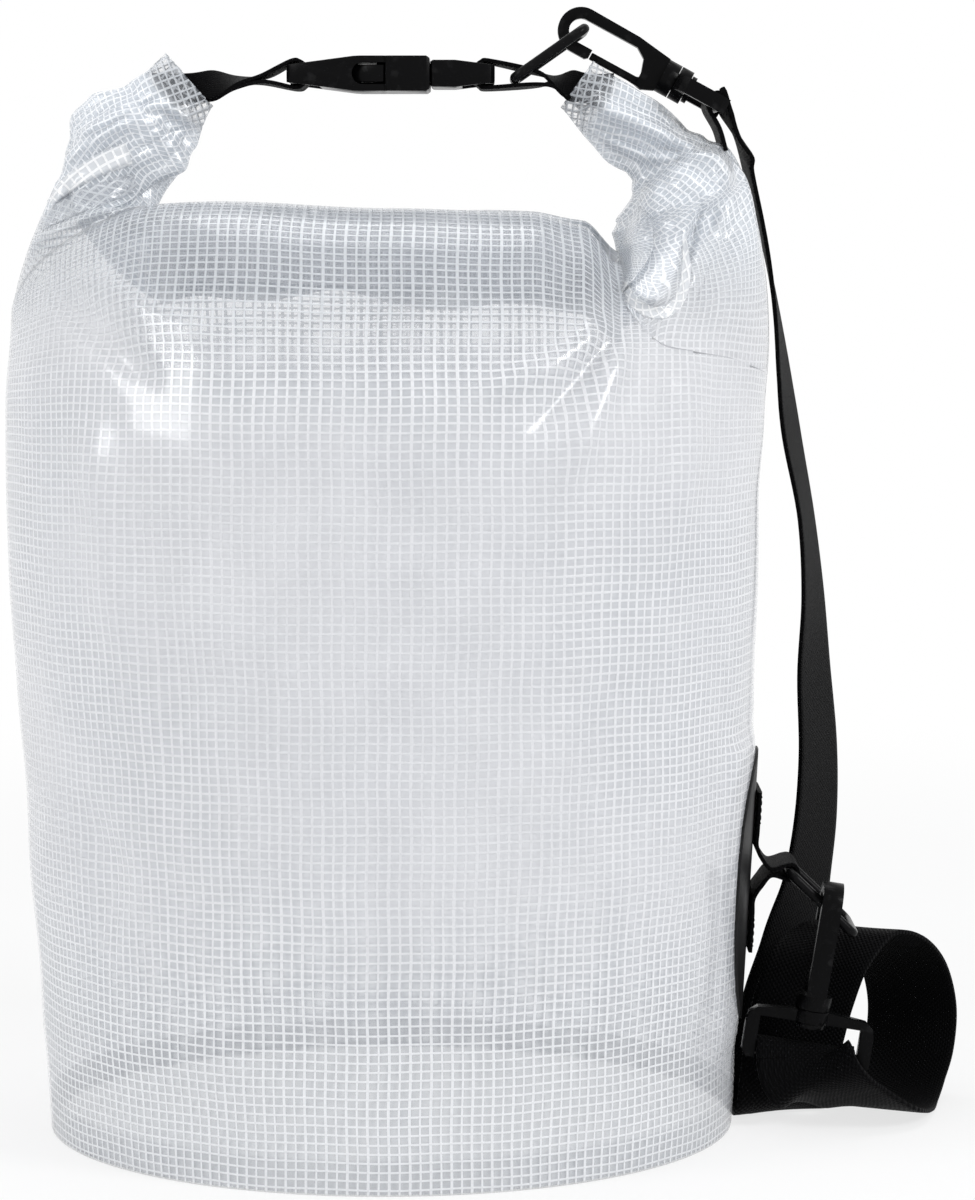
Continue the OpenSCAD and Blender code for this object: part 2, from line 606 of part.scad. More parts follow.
// Route of the strap: round the upper bar, down behind the shoulder and the ring, under in a fold on the ground,
// up behind the hook, over to the right and back in a loose loop, along the ground and up round the lower bar
wrap_r = bar_r + 0.15 + strap_t / 2;
function round_upper(a) = [upper_bar + wrap_r * [cos(a), 0, sin(a)], [0, 1, 0]];
function round_lower(a) = [lower_bar + wrap_r * [0, -cos(a), sin(a)], lower_across];
function from_upper(v, w) = [upper_bar + v, [w[0], w[1], 0]];
function from_lower(v, w) = [lower_bar + [v[0], v[1], v[2] - lower_bar[2]], [w[0], w[1], 0]];
run_stops = [
    from_upper([2.6, 0, -15], [0, 1]), from_upper([0.6, 0, -8], [0, 1]), round_upper(210), round_upper(150),
    round_upper(95), round_upper(45), round_upper(0), from_upper([5.6, 2.5, -7], [0, 1]),
    from_upper([9.1, 7, -14], [0, 1]), from_upper([13, 13, -28], [0, 1]), from_upper([17.7, 18, -47], [0.04, 1]),
    from_upper([21.4, 22, -67], [0.1, 1]), from_upper([24, 24, -86], [0.18, 1]),
    from_upper([26.7, 25, -105.5], [0.23, 0.97]), from_upper([31.9, 28, -132.5], [0.21, 0.98]),
    from_upper([34.6, 30.5, -159], [0.27, 0.96]), from_lower([6.3, 55.6, 142], [0.38, 0.92]),
    from_lower([8.1, 58.1, 115], [0.44, 0.9]), from_lower([7.5, 60, 90], [0.5, 0.87]),
    from_lower([4.1, 59.6, 66], [0.57, 0.82]), from_lower([-0.1, 53, 46], [0.73, 0.68]),
    from_lower([-4.3, 46.4, 29], [0.85, 0.53]), from_lower([-6.6, 40, 13], [0.91, 0.42]),
    from_lower([-7.1, 33.6, 2.6], [0.92, 0.39])];
loop_stops = [
    from_lower([-7.1, 33.6, 2.6], [0.92, 0.39]), from_lower([-6.9, 27, 1], [0.92, 0.39]),
    from_lower([-6.6, 20, 1.8], [0.93, 0.36]), from_lower([-5.9, 15, 6.5], [0.95, 0.3]),
    from_lower([-4.4, 13.6, 16], [0.97, 0.2]), from_lower([-1.9, 15.1, 28], [0.98, 0.05]),
    from_lower([1.6, 18.1, 40], [0.97, -0.15]), from_lower([7.5, 23.5, 51], [0.94, -0.3]),
    from_lower([17.5, 33, 58], [0.89, -0.44]), from_lower([28, 43, 54.5], [0.87, -0.48]),
    from_lower([36, 51.6, 44.5], [0.87, -0.48]), from_lower([40, 56, 30], [0.87, -0.48]),
    from_lower([39, 54, 16], [0.87, -0.48]), from_lower([35, 47, 6], [0.87, -0.47]),
    from_lower([31, 35, 1.8], [0.87, -0.46]), from_lower([27.7, 20.5, 2.4], [0.88, -0.44]),
    from_lower([22.5, 7, 5.4], [0.9, -0.4]), from_lower([13, 0.6, 10.5], [0.94, -0.3]),
    from_lower([5.2, -3.8, 15.5], [0.98, -0.15]), from_lower([0.6, -4.4, 20], [0.99, -0.02]),
    round_lower(0), round_lower(45), round_lower(90), round_lower(135), round_lower(180),
    from_lower([-0.9, 3.2, 16.5], [0.99, 0])];
module strap_run() {
    color([0.05, 0.05, 0.055]) band(run_stops, strap_w, strap_t);
}
module strap_loop() {
    color([0.05, 0.05, 0.055]) band(loop_stops, strap_w, strap_t);
}

bag_wall();
base_panel();
back_seam();
rolled_mouth();
mouth_stiffener();
left_horn();
right_horn();
left_web_loop();
right_web_loop();
buckle_socket();
buckle_plug();
front_spring_arm();
back_spring_arm();
handle_ring();
upper_hook();
upper_gate();
upper_swivel();
side_patch();
side_tab();
side_ring();
lower_hook();
lower_gate();
lower_swivel();
strap_run();
strap_loop();
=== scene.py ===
"""Looks of a roll-top dry bag of clear, thread-reinforced sheet with a buckled handle and a clip-on strap."""

import json
import math
from bisect import bisect_right

import bmesh
import bpy
from mathutils import Matrix, Vector, noise
from mathutils.kdtree import KDTree

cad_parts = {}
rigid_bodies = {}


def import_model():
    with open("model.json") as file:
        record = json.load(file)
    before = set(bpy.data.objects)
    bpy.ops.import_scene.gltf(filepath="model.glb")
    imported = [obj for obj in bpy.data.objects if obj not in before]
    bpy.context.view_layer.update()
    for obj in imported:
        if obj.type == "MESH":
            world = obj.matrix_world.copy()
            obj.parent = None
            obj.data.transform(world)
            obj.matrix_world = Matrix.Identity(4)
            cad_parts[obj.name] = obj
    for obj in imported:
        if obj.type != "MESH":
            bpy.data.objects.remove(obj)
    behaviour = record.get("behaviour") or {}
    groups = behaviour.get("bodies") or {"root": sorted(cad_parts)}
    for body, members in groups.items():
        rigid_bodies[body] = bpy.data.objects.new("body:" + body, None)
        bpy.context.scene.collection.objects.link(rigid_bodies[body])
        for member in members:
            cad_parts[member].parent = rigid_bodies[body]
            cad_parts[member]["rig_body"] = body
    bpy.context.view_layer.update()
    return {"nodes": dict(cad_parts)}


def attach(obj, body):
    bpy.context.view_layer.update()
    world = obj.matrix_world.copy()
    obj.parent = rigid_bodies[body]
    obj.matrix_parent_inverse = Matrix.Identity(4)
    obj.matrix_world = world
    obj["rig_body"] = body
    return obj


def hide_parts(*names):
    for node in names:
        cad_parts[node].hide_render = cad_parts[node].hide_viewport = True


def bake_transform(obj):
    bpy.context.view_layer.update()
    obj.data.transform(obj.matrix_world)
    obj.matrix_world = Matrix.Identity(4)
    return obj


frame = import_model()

# Shapes are worked out in millimetres and scaled to metres at the end
MM = 0.001
BASE_R = 110.0
SHEET, THIN_SHEET, PLEAT_SHEET = 0.6, 0.5, 0.3
THREADS_ROUND = 222
PITCH_ROUND = 2 * math.pi * BASE_R / THREADS_ROUND
PITCH_UP = 2.72


# ---- small helpers ----

def clamp(x, low=0.0, high=1.0):
    return max(low, min(high, x))


def ease(x):
    """Smooth step from 0 to 1."""
    x = clamp(x)
    return x * x * (3 - 2 * x)


def mix(a, b, t):
    return a + (b - a) * t


def around(angle):
    """Unit vector at an angle in degrees, from +X up to +Z."""
    a = math.radians(angle)
    return Vector((math.cos(a), 0, math.sin(a)))


def spline(points, t):
    """Point of a smooth curve through the given tuples, at t counted in points."""
    last = len(points) - 1
    i = int(clamp(math.floor(t), 0, last - 1))
    f = t - i
    near = points[max(i - 1, 0)], points[i], points[i + 1], points[min(i + 2, last)]
    return tuple(
        0.5 * (2 * q + (r - p) * f + (2 * p - 5 * q + 4 * r - s) * f * f + (3 * q - p - 3 * r + s) * f ** 3)
        for p, q, r, s in zip(*near))


def table(pairs, x):
    """Smooth value at x between listed (x, value) pairs."""
    if x <= pairs[0][0]:
        return pairs[0][1]
    for (x0, y0), (x1, y1) in zip(pairs, pairs[1:]):
        if x <= x1:
            return mix(y0, y1, ease((x - x0) / (x1 - x0)))
    return pairs[-1][1]


def near_line(line, x, z):
    """Distance from (x, z) to a line through listed places, and the share of the line passed there."""
    best, passed = 1e9, 0.0
    for i, ((x0, z0), (x1, z1)) in enumerate(zip(line, line[1:])):
        dx, dz = x1 - x0, z1 - z0
        f = clamp(((x - x0) * dx + (z - z0) * dz) / (dx * dx + dz * dz))
        away = math.hypot(x - x0 - f * dx, z - z0 - f * dz)
        if away < best:
            best, passed = away, (i + f) / (len(line) - 1)
    return best, passed


def fold_height(folds, x, z):
    """Height at (x, z) of folds listed as line, half width, height, flat share of the width, and the share of
    the line over which both ends fade."""
    height = 0.0
    for line, half, rise, flat, fade in folds:
        away, passed = near_line(line, x, z)
        if away < half:
            ends = ease(passed / fade) * ease((1 - passed) / fade) if fade else 1.0
            height += rise * ends * ease((half - away) / (half * (1 - flat)))
    return height


def curve_between(start, m0, end, m1, f):
    """Point of a smooth curve from start to end with the given leaving and arriving directions."""
    return (start * (2 * f ** 3 - 3 * f * f + 1) + m0 * (f ** 3 - 2 * f * f + f)
            + end * (3 * f * f - 2 * f ** 3) + m1 * (f ** 3 - f * f))


def piece_from(bm, name, smooth=True, scale=MM):
    """Turns a bmesh into an object at the origin, from millimetres unless its scale is given."""
    mesh = bpy.data.meshes.new(name)
    bmesh.ops.scale(bm, vec=(scale, scale, scale), verts=bm.verts)
    bm.to_mesh(mesh)
    bm.free()
    mesh.polygons.foreach_set("use_smooth", [smooth] * len(mesh.polygons))
    obj = bpy.data.objects.new(name, mesh)
    bpy.context.scene.collection.objects.link(obj)
    return obj


def give(obj, material, slot, body=None, *nodes):
    """Finish of a piece: its material, or those of its outer face, inner face and cut edge, its slot, which is
    not used, its body and the CAD nodes it stands for."""
    obj.data.materials.clear()
    for each in material if isinstance(material, tuple) else (material,):
        obj.data.materials.append(each)
    if body:
        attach(obj, body)
    if nodes:
        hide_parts(*nodes)
    return obj


def grid_piece(name, columns, rows, place, threads, closed=False, keep=None, turned=False):
    """A sheet made from a flat grid. place(u, v) gives each corner in millimetres, and threads(u, v, side) its
    place in the weave, where side is the u of the middle of the face. keep(u, v) is false for a face that is
    cut out. A mirrored sheet has its faces turned. Cut edges are sharp, so that the sheet isn't shaded round
    them."""
    bm = bmesh.new()
    bmesh.ops.create_grid(bm, x_segments=columns, y_segments=rows, size=0.5)
    weave = bm.loops.layers.float_vector.new("thread")
    spare = []
    for face in bm.faces:
        middle = face.calc_center_median()
        if keep and not keep(middle.x + 0.5, middle.y + 0.5):
            spare.append(face)
        for loop in face.loops:
            u, v = loop.vert.co.x + 0.5, loop.vert.co.y + 0.5
            loop[weave] = Vector((*threads(u, v, middle.x + 0.5), 0.0)[:3])
    bmesh.ops.delete(bm, geom=spare, context="FACES")
    for vert in bm.verts:
        vert.co = place(vert.co.x + 0.5, vert.co.y + 0.5)
    if closed:
        bmesh.ops.remove_doubles(bm, verts=bm.verts, dist=0.001)
    for edge in bm.edges:
        edge.smooth = not edge.is_boundary
    if turned:
        bmesh.ops.reverse_faces(bm, faces=bm.faces)
    return piece_from(bm, name)


def thicken(obj, thickness, offset=-1.0):
    """Gives a sheet its thickness; its inner face takes the second material and its cut edge the third."""
    solid = obj.modifiers.new("thickness", "SOLIDIFY")
    solid.thickness = thickness * MM
    solid.offset = offset
    solid.material_offset = 1
    solid.material_offset_rim = 2
    return obj


# ---- finishes ----

def maths_pair(kind):
    """An operator of wires and its reflected form, which add a Math node."""
    return (lambda self, other: self.finish.maths(kind, self, other),
            lambda self, other: self.finish.maths(kind, other, self))


class Wire:
    """A shader socket: sums and products of wires add Math nodes."""

    def __init__(self, finish, socket):
        self.finish, self.socket = finish, socket

    def output(self, key):
        """Another output of the same node."""
        return Wire(self.finish, self.socket.node.outputs[key])

    __add__, __radd__ = maths_pair("ADD")
    __sub__, __rsub__ = maths_pair("SUBTRACT")
    __mul__, __rmul__ = maths_pair("MULTIPLY")
    __truediv__, __rtruediv__ = maths_pair("DIVIDE")
    __mod__, __rmod__ = maths_pair("FLOORED_MODULO")

    def __abs__(self):
        return self.finish.maths("ABSOLUTE", self)


# Painted shade in the roll, in metres: heights of its foot and crown, and how far out its ends lie
ROLL_FOOT, ROLL_CROWN, ROLL_ENDS = (0.261, 0.272), (0.293, 0.272), (0.0735, 0.064)


class Finish:
    """A material or world under construction."""

    def __init__(self, holder):
        self.holder = holder
        holder.use_nodes = True
        self.tree = holder.node_tree
        self.tree.nodes.clear()

    def node(self, kind, inputs=None, output=0, **settings):
        """A node with its settings, and then the values or wires of its inputs."""
        made = self.tree.nodes.new("ShaderNode" + kind)
        for key, value in settings.items():
            setattr(made, key, value)
        for key, value in (inputs or {}).items():
            if isinstance(value, Wire):
                self.tree.links.new(value.socket, made.inputs[key])
            else:
                made.inputs[key].default_value = value
        return Wire(self, made.outputs[output]) if made.outputs else None

    def maths(self, kind, first, second=0.0):
        return self.node("Math", {0: first, 1: second}, operation=kind)

    def step(self, value, low, high, to_low=0.0, to_high=1.0):
        """Smooth step of a wire from to_low at low to to_high at high."""
        return self.node("MapRange", {0: value, 1: low, 2: high, 3: to_low, 4: to_high},
                         interpolation_type="SMOOTHSTEP")

    def blend(self, factor, first, second):
        """Mix of two colours."""
        return self.node("Mix", {0: factor, 6: first, 7: second}, output=2, data_type="RGBA")

    def place(self):
        """Place on the piece, in metres."""
        return self.node("TexCoord", output=3)

    def weave(self):
        """Place in the weave, in millimetres."""
        return self.node("Attribute", output=1, attribute_name="thread")

    def axes(self, vector):
        first = self.node("SeparateXYZ", {0: vector})
        return [first.output(i) for i in range(3)]

    def speckle(self, vector, scale, detail=2.0):
        return self.node("TexNoise", {"Vector": vector, "Scale": scale, "Detail": detail})

    def bump(self, height, strength, distance):
        return self.node("Bump", {"Height": height, "Strength": strength, "Distance": distance})

    def plain_rays(self):
        """1 for rays that look at the backdrop, straight, through film or in a reflection; 0 for others."""
        path = self.node("LightPath")
        seen = path.output("Is Camera Ray") + path.output("Is Glossy Ray")
        return self.maths("MINIMUM", seen + path.output("Is Transmission Ray"), 1.0)

    def painted_roll_shade(self, place):
        """Depth of the shade painted in the roll: deepest in its lower half, paler at its crown, foot and both
        ends.
        """
        x, _, z = self.axes(place)
        z = z + (self.speckle(place, 38.0) - 0.5) * 0.012
        return (self.step(z, *ROLL_FOOT) * self.step(z, *ROLL_CROWN, 0.5, 1.0)
                * self.step(abs(x), *ROLL_ENDS))

    def end(self, **sockets):
        """Principled surface. Names use _ for a space."""
        shader = self.node("BsdfPrincipled", {k.replace("_", " "): v for k, v in sockets.items()})
        self.node("OutputMaterial", {0: shader})
        return self.holder


def finish_named(name):
    return Finish(bpy.data.materials.new(name))


def tone(colour, times=1.0, plus=0.0):
    """A colour made lighter or darker, with its fourth value."""
    return (*[c * times + plus for c in colour], 1.0)


# Threads: distance from their middle, in millimetres, where they fade out and where they are full
BROAD_THREAD, SLIM_THREAD = (0.62, 0.3), (0.48, 0.2)
# Look of the sheet, in metres: heights over which the threads are painted grey as shade at the crown, the fog
# sets in and ends, and the lining clears; widths and heights of the denser fog in the middle; widths where the
# fog climbs at the flanks
CROWN_SHADE_HEIGHTS, FOG_FOOT, FOG_TOP, LINING_TOP = (0.236, 0.276), (0.03, 0.1), (0.262, 0.224), (0.235, 0.262)
MIDDLE, MIDDLE_FOOT, MIDDLE_TOP = (0.085, 0.03), (0.05, 0.12), (0.24, 0.2)
FLANK, FLANK_CLIMB = (0.062, 0.088), 0.024
# Painted shade of the threads at the crown, and the colour of the fog
CROWN_THREAD_SHADE, FOG = (0.53, 0.56, 0.6), (0.77, 0.78, 0.81)


def sheet_finish(name, cell_alpha, thread_alpha, cell, thread, glaze=0.16, veil=0.0, gathered=None,
                 rolled=None):
    """Clear film over a grid of white threads, which runs in the piece's own thread attribute. A veil fogs the
    film between the base and the crown, and at the crown its threads are painted greyer as shade. Where the
    attribute's third value rises to 1 the sheet is gathered, with its own cell alpha, cell colour and thread
    colour, and where it falls below 0 its cells are clear. A rolled sheet's colours are painted shade, and turn
    to this unshaded colour where the painted shade of the roll is light."""
    f = finish_named(name)
    place = f.place()
    x, _, height = f.axes(place)
    across, up, share = f.axes(f.weave())
    cloud = f.speckle(place, 42.0)
    haze = f.step(cloud, 0.36, 0.66)

    wander = f.maths("SINE", up * 0.19 + across * 0.043) * 0.16
    swell = f.maths("SINE", across * 0.16 + up * 0.031) * 0.16
    across, up = across + wander, up + swell
    broad = abs(across % (2 * PITCH_ROUND) - PITCH_ROUND)
    slim = abs((across + PITCH_ROUND) % (2 * PITCH_ROUND) - PITCH_ROUND)
    level = abs(up % PITCH_UP - PITCH_UP / 2)
    warp = f.maths("MAXIMUM", f.step(broad, *BROAD_THREAD), f.step(slim, *SLIM_THREAD))
    weft = f.step(level, *SLIM_THREAD)
    grid = f.maths("MAXIMUM", warp, weft)

    cells = f.blend(haze, tone(cell), tone(cell, 0.94))
    yarn = tone(thread)
    if veil:
        # Painted shade: the threads turn grey towards the crown
        yarn = f.blend(f.step(height, *CROWN_SHADE_HEIGHTS) * 0.85, yarn, tone(CROWN_THREAD_SHADE))
    if gathered:
        gathered_alpha, gathered_cell, gathered_thread = gathered
        cells = f.blend(share, cells, tone(gathered_cell))
        yarn = f.blend(share, yarn, tone(gathered_thread))
        cell_alpha = cell_alpha + share * (gathered_alpha - cell_alpha)
    colour = f.blend(grid, cells, yarn)
    alpha = cell_alpha + grid * (thread_alpha - cell_alpha) + (haze - 0.5) * 0.07
    relief = grid * 0.5 + warp * weft * 0.4
    if veil:
        patchy = f.step(f.speckle(place, 10.0, 1.0), 0.38, 0.62)
        middle = f.step(abs(x), *MIDDLE)
        climb = f.step(abs(x), *FLANK) * FLANK_CLIMB
        fog = f.step(height, *FOG_FOOT) * f.step(height - climb, *FOG_TOP) * (0.6 + patchy * 0.4) * veil
        fog = fog + (1.0 - fog) * middle * f.step(height, *MIDDLE_FOOT) * f.step(height, *MIDDLE_TOP) * 0.7
        colour = f.blend(fog, colour, tone(FOG))
        alpha = alpha + fog * (1.0 - grid) * 0.45
        relief = relief * (1.0 - fog * 0.6)
    if rolled:
        # Painted shade: the roll's dark colour where its shade is deep, its unshaded colour where the shade
        # fades
        colour = f.blend(f.painted_roll_shade(place), tone(rolled), colour)
    return f.end(Base_Color=colour, Alpha=alpha, Roughness=glaze + grid * 0.14 + haze * 0.05,
                 Normal=f.bump(relief + cloud * 1.1, 0.6, 0.0004), Coat_Weight=0.8, Coat_Roughness=0.1, IOR=1.5)


def lining_finish(name, colour, alpha, clear_top=0.0, gathered=None, rolled=None):
    """Milky inner face of the sheet, clearer by a share of its alpha at the crown. A gathered sheet has its own
    colour, alpha and share where the thread attribute's third value rises to 1, and is clear where it falls
    below 0. A rolled sheet's colour is painted shade, and turns to this unshaded colour where the painted shade
    of the roll is light."""
    f = finish_named(name)
    place = f.place()
    cloud = f.speckle(place, 30.0, 1.0)
    top = f.step(f.axes(place)[2], *LINING_TOP)
    base = f.blend(cloud, tone(colour), tone(colour, 0.96))
    if clear_top:
        alpha = alpha - top * (alpha * clear_top)
    if gathered:
        tint, thick, clear = gathered
        share = f.axes(f.weave())[2]
        full = f.step(share, 0.0, 1.0)
        alpha = alpha + full * (thick - top * (thick * clear) - alpha)
        alpha = alpha * f.step(share, -0.9, 0.0, 0.12, 1.0)
        base = f.blend(full, base, tone(tint))
    if rolled:
        # Painted shade: the roll's dark colour where its shade is deep, its unshaded colour where the shade
        # fades
        base = f.blend(f.painted_roll_shade(place), tone(rolled), base)
    return f.end(Base_Color=base, Alpha=alpha * (0.9 + cloud * 0.2), Roughness=0.45 + cloud * 0.1, IOR=1.4)


def moulded_finish(name, colour, rough):
    """Black moulded plastic with a fine spark-eroded grain and paler patches that are partly rubbed wear and
    partly painted sheen.
    """
    f = finish_named(name)
    place = f.place()
    grain = f.speckle(place, 2600.0)
    cloud = f.speckle(place, 70.0, 3.0)
    # Paler patches: partly rubbed wear, partly painted sheen standing in for highlights
    rub_and_sheen = f.step(f.speckle(place, 230.0, 3.0), 0.56, 0.78)
    base = f.blend(rub_and_sheen * 0.55, tone(colour), tone(colour, 2.1, 0.012))
    return f.end(Base_Color=base, Roughness=rough + (cloud - 0.5) * 0.16 + rub_and_sheen * 0.08,
                 Normal=f.bump(grain, 0.25, 0.00012), IOR=1.5, Specular_IOR_Level=0.06)


def webbing_finish(name, colour, rib, row):
    """Woven strap: ribs across the strap and pairs of yarns along it, in its own thread attribute."""
    f = finish_named(name)
    place = f.place()
    along, across, _ = f.axes(f.weave())
    odd = f.step(across % (2 * row), row - 0.05, row + 0.05)
    ribs = abs((along + odd * (rib / 2)) % rib - rib / 2) / (rib / 2)
    rows = abs(across % row - row / 2) / (row / 2)
    weave = f.step(ribs, 0.95, 0.2) * f.step(rows, 1.0, 0.45)
    lint = f.speckle(place, 1500.0, 3.0)
    wear = f.step(f.speckle(place, 45.0, 3.0), 0.45, 0.75)
    base = f.blend(weave * 0.6 + lint * 0.25, tone(colour, 0.45), tone(colour, 1.9))
    base = f.blend(wear * 0.25, base, tone(colour, 2.4))
    return f.end(Base_Color=base, Roughness=0.62 + (lint - 0.5) * 0.2 - weave * 0.1,
                 Normal=f.bump(weave + lint * 0.35, 0.75, 0.0005), Sheen_Weight=0.006, Sheen_Roughness=0.45,
                 IOR=1.45, Specular_IOR_Level=0.04)


def plain_finish(name, colour, rough, grain, depth, alpha=1.0):
    """A satin sheet, strip or thread with a fine grain."""
    f = finish_named(name)
    place = f.place()
    fine = f.speckle(place, grain, 3.0)
    cloud = f.speckle(place, 60.0, 3.0)
    base = f.blend(cloud, tone(colour, 0.8), tone(colour, 1.15))
    return f.end(Base_Color=base, Roughness=rough + (cloud - 0.5) * 0.14, Alpha=alpha,
                 Normal=f.bump(fine, 0.5, depth), IOR=1.5, Specular_IOR_Level=0.25)


# The last of these is the roll's colour where no shade is painted on it
CELL, THREAD, MILK, ROLL_UNSHADED = (0.66, 0.7, 0.76), (0.86, 0.875, 0.905), (0.80, 0.815, 0.85), (0.8, 0.815, 0.84)
cut_edge = plain_finish("sheet_cut_edge", (0.82, 0.83, 0.85), 0.4, 500.0, 0.0001, 0.5)
film = (sheet_finish("clear_thread_sheet", 0.22, 0.8, CELL, THREAD, 0.16, 0.85),
        lining_finish("milky_lining", MILK, 0.38, 0.6), cut_edge)
film_horn = (sheet_finish("gathered_thread_sheet", 0.22, 0.82, CELL, THREAD, 0.18, 0.85,
                          gathered=(0.4, (0.78, 0.84, 0.91), (0.9, 0.925, 0.96))),
             lining_finish("gathered_lining", MILK, 0.38, 0.6, gathered=((0.84, 0.875, 0.93), 0.42, 0.3)),
             cut_edge)
film_pleat = (sheet_finish("pleated_thread_sheet", 0.68, 0.9, (0.86, 0.89, 0.93), (0.95, 0.96, 0.975), 0.14),
              lining_finish("pleated_lining", (0.82, 0.85, 0.88), 0.4), cut_edge)
# The roll's sheet and lining are painted dark as the shade inside the roll
film_rolled_painted_shade = (sheet_finish("rolled_thread_sheet_painted_shade", 0.86, 0.95, (0.15, 0.19, 0.24), (0.44, 0.47, 0.52),
                            rolled=ROLL_UNSHADED),
               lining_finish("rolled_lining_painted_shade", (0.3, 0.34, 0.39), 0.86, rolled=ROLL_UNSHADED), cut_edge)
film_turns = (sheet_finish("inner_turn_sheet", 0.7, 0.9, (0.74, 0.79, 0.86), (0.88, 0.9, 0.93)),
              lining_finish("inner_turn_lining", (0.8, 0.84, 0.89), 0.6), cut_edge)
film_lap = (sheet_finish("lapped_thread_sheet", 0.06, 0.4, (0.78, 0.8, 0.84), (0.9, 0.91, 0.93)),
            lining_finish("lapped_lining", (0.86, 0.875, 0.9), 0.06), cut_edge)
film_base = (sheet_finish("base_thread_sheet", 0.16, 0.6, (0.7, 0.73, 0.77), (0.9, 0.91, 0.93)),
             lining_finish("base_lining", (0.8, 0.82, 0.85), 0.14), cut_edge)
moulding = moulded_finish("black_moulding", (0.0025, 0.0025, 0.0028), 0.26)
wire_black = moulded_finish("black_ring", (0.005, 0.005, 0.0054), 0.26)
webbing = webbing_finish("black_webbing", (0.0022, 0.0022, 0.0025), 1.5, 0.9)
patch_black = plain_finish("black_patch", (0.005, 0.005, 0.0055), 0.5, 900.0, 0.0002)
stitch_black = plain_finish("black_stitching", (0.014, 0.014, 0.015), 0.5, 1800.0, 0.0002)
strip_clear = plain_finish("stiffening_strip", (0.75, 0.78, 0.8), 0.4, 500.0, 0.0001, 0.85)


# ---- the tube of sheet: body, crown and fall to the roll ----

FOOT_Z, FLANGE_Z = 0.6, 10.6
SHOULDER_A, SHOULDER_B, SHOULDER_Z = 121.0, 98.0, 194.0
CROWN_Z, NECK_Z, ROLL_T = 292.5, 264.0, 14.0
ARC_STEPS, WALL_COLUMNS, WALL_ROWS = 8, 240, 120


def half_w(z):
    return mix(BASE_R, SHOULDER_A, (max(z, 0) / SHOULDER_Z) ** 0.9)


def half_d(z):
    return mix(BASE_R, SHOULDER_B, (max(z, 0) / SHOULDER_Z) ** 1.2)


def wall_rings():
    """Sections of the tube from its foot over the crown and down to the roll: half width, half depth, height at
    the middle and height at the sides."""
    body = [FOOT_Z, 4.0, FLANGE_Z] + [mix(FOOT_Z, SHOULDER_Z, i / 6) for i in range(1, 7)]
    rings = [(half_w(z), half_d(z), z, z) for z in body]
    for slim, deep, rise, side in [(0, .985, .264, .325), (0, .944, .447, .519), (0, .888, .589, .662),
                                   (0, .811, .721, .779), (.2, .714, .832, .864), (.7, .612, .924, .929),
                                   (1.4, .52, .975, .968), (2.2, .429, 1, .994)]:
        rings.append((SHOULDER_A - slim, SHOULDER_B * deep, mix(SHOULDER_Z, CROWN_Z, rise),
                      mix(SHOULDER_Z, NECK_Z + 7, side)))
    for slim, deep, z, side in [(3, 24, CROWN_Z - .5, 7), (3.8, 13, CROWN_Z - 4.5, 6.3),
                                (4.6, 6.5, CROWN_Z - 13.5, 4.6), (5, 3, NECK_Z + 5, 2.4)]:
        rings.append((SHOULDER_A - slim, ROLL_T / 2 + deep, z, NECK_Z + side))
    return rings


RINGS = wall_rings()
LAST_RING, CROWN_RING = len(RINGS) - 1, 16
# How far the left and the right side stand out, by height
SIDE_FULL = {-1: [(0, 0), (41, -0.5), (105, 1.4), (169, 1.2), (233, 2.2), (262, 0.5), (275, 0)],
             1: [(0, 0), (60, -0.6), (124, -1.6), (200, -3.2), (226, -1.2), (262, 0.2), (275, 0)]}
# The top edge of the crown is higher on the left and falls into the crease on the right
CROWN_LEAN = [(-100, 0), (-72, 3.5), (-55, 3.5), (0, 1.2), (44, 0), (60, -3.5), (72, -15), (90, -12), (108, 0)]
LEAN_FROM, LEAN_OVER = 246, 42
# The sheet lies flat under the patch, between these heights
PATCH_LOW, PATCH_HIGH = 24, 130
# Folds of the front: line, half width, height, flat share, fade
WALL_FOLDS = [
    ([(-110, 276), (-88, 257), (-62, 236)], 7.0, -2.4, 0.2, 0.3),
    ([(-100, 279), (-72, 262), (-44, 252)], 6.0, 1.6, 0.1, 0.3),
    ([(72, 262), (52, 248), (24, 236)], 6.0, 2.6, 0.1, 0.3),
    ([(74, 258), (64, 234), (52, 208)], 6.0, 2.8, 0.1, 0.3),
    ([(73, 260), (58, 242), (40, 222)], 4.5, -2.0, 0.1, 0.3),
    ([(92, 256), (94, 222), (88, 180)], 9.0, 2.2, 0.0, 0.4),
    ([(-96, 246), (-84, 200), (-80, 140)], 11.0, 2.4, 0.0, 0.4),
    ([(-70, 200), (-62, 150), (-66, 100)], 12.0, -2.2, 0.0, 0.4),
    ([(-98, 120), (-88, 92), (-92, 60)], 10.0, -2.4, 0.0, 0.4),
    ([(60, 170), (48, 120), (52, 66)], 14.0, 2.2, 0.0, 0.4),
    ([(10, 240), (4, 190), (12, 130)], 16.0, -1.8, 0.0, 0.4)]


def slack(turn, z):
    """Slack of the sheet: broad dents, and in front long shallow folds that run down from the shoulders."""
    c, s = math.cos(turn), math.sin(turn)
    where = Vector((c * 1.7, s * 1.7, z / 62.0))
    dents = noise.noise(where * 0.9) * 1.5 + noise.noise(where * 2.1 + Vector((7, 3, 1))) * 0.7
    fade = ease((z - 4) / 40) * ease((292 - z) / 30)
    folds = fold_height(WALL_FOLDS, SHOULDER_A * c, z) * ease(-s * 3) if s < 0 else 0.0
    return dents * fade + folds


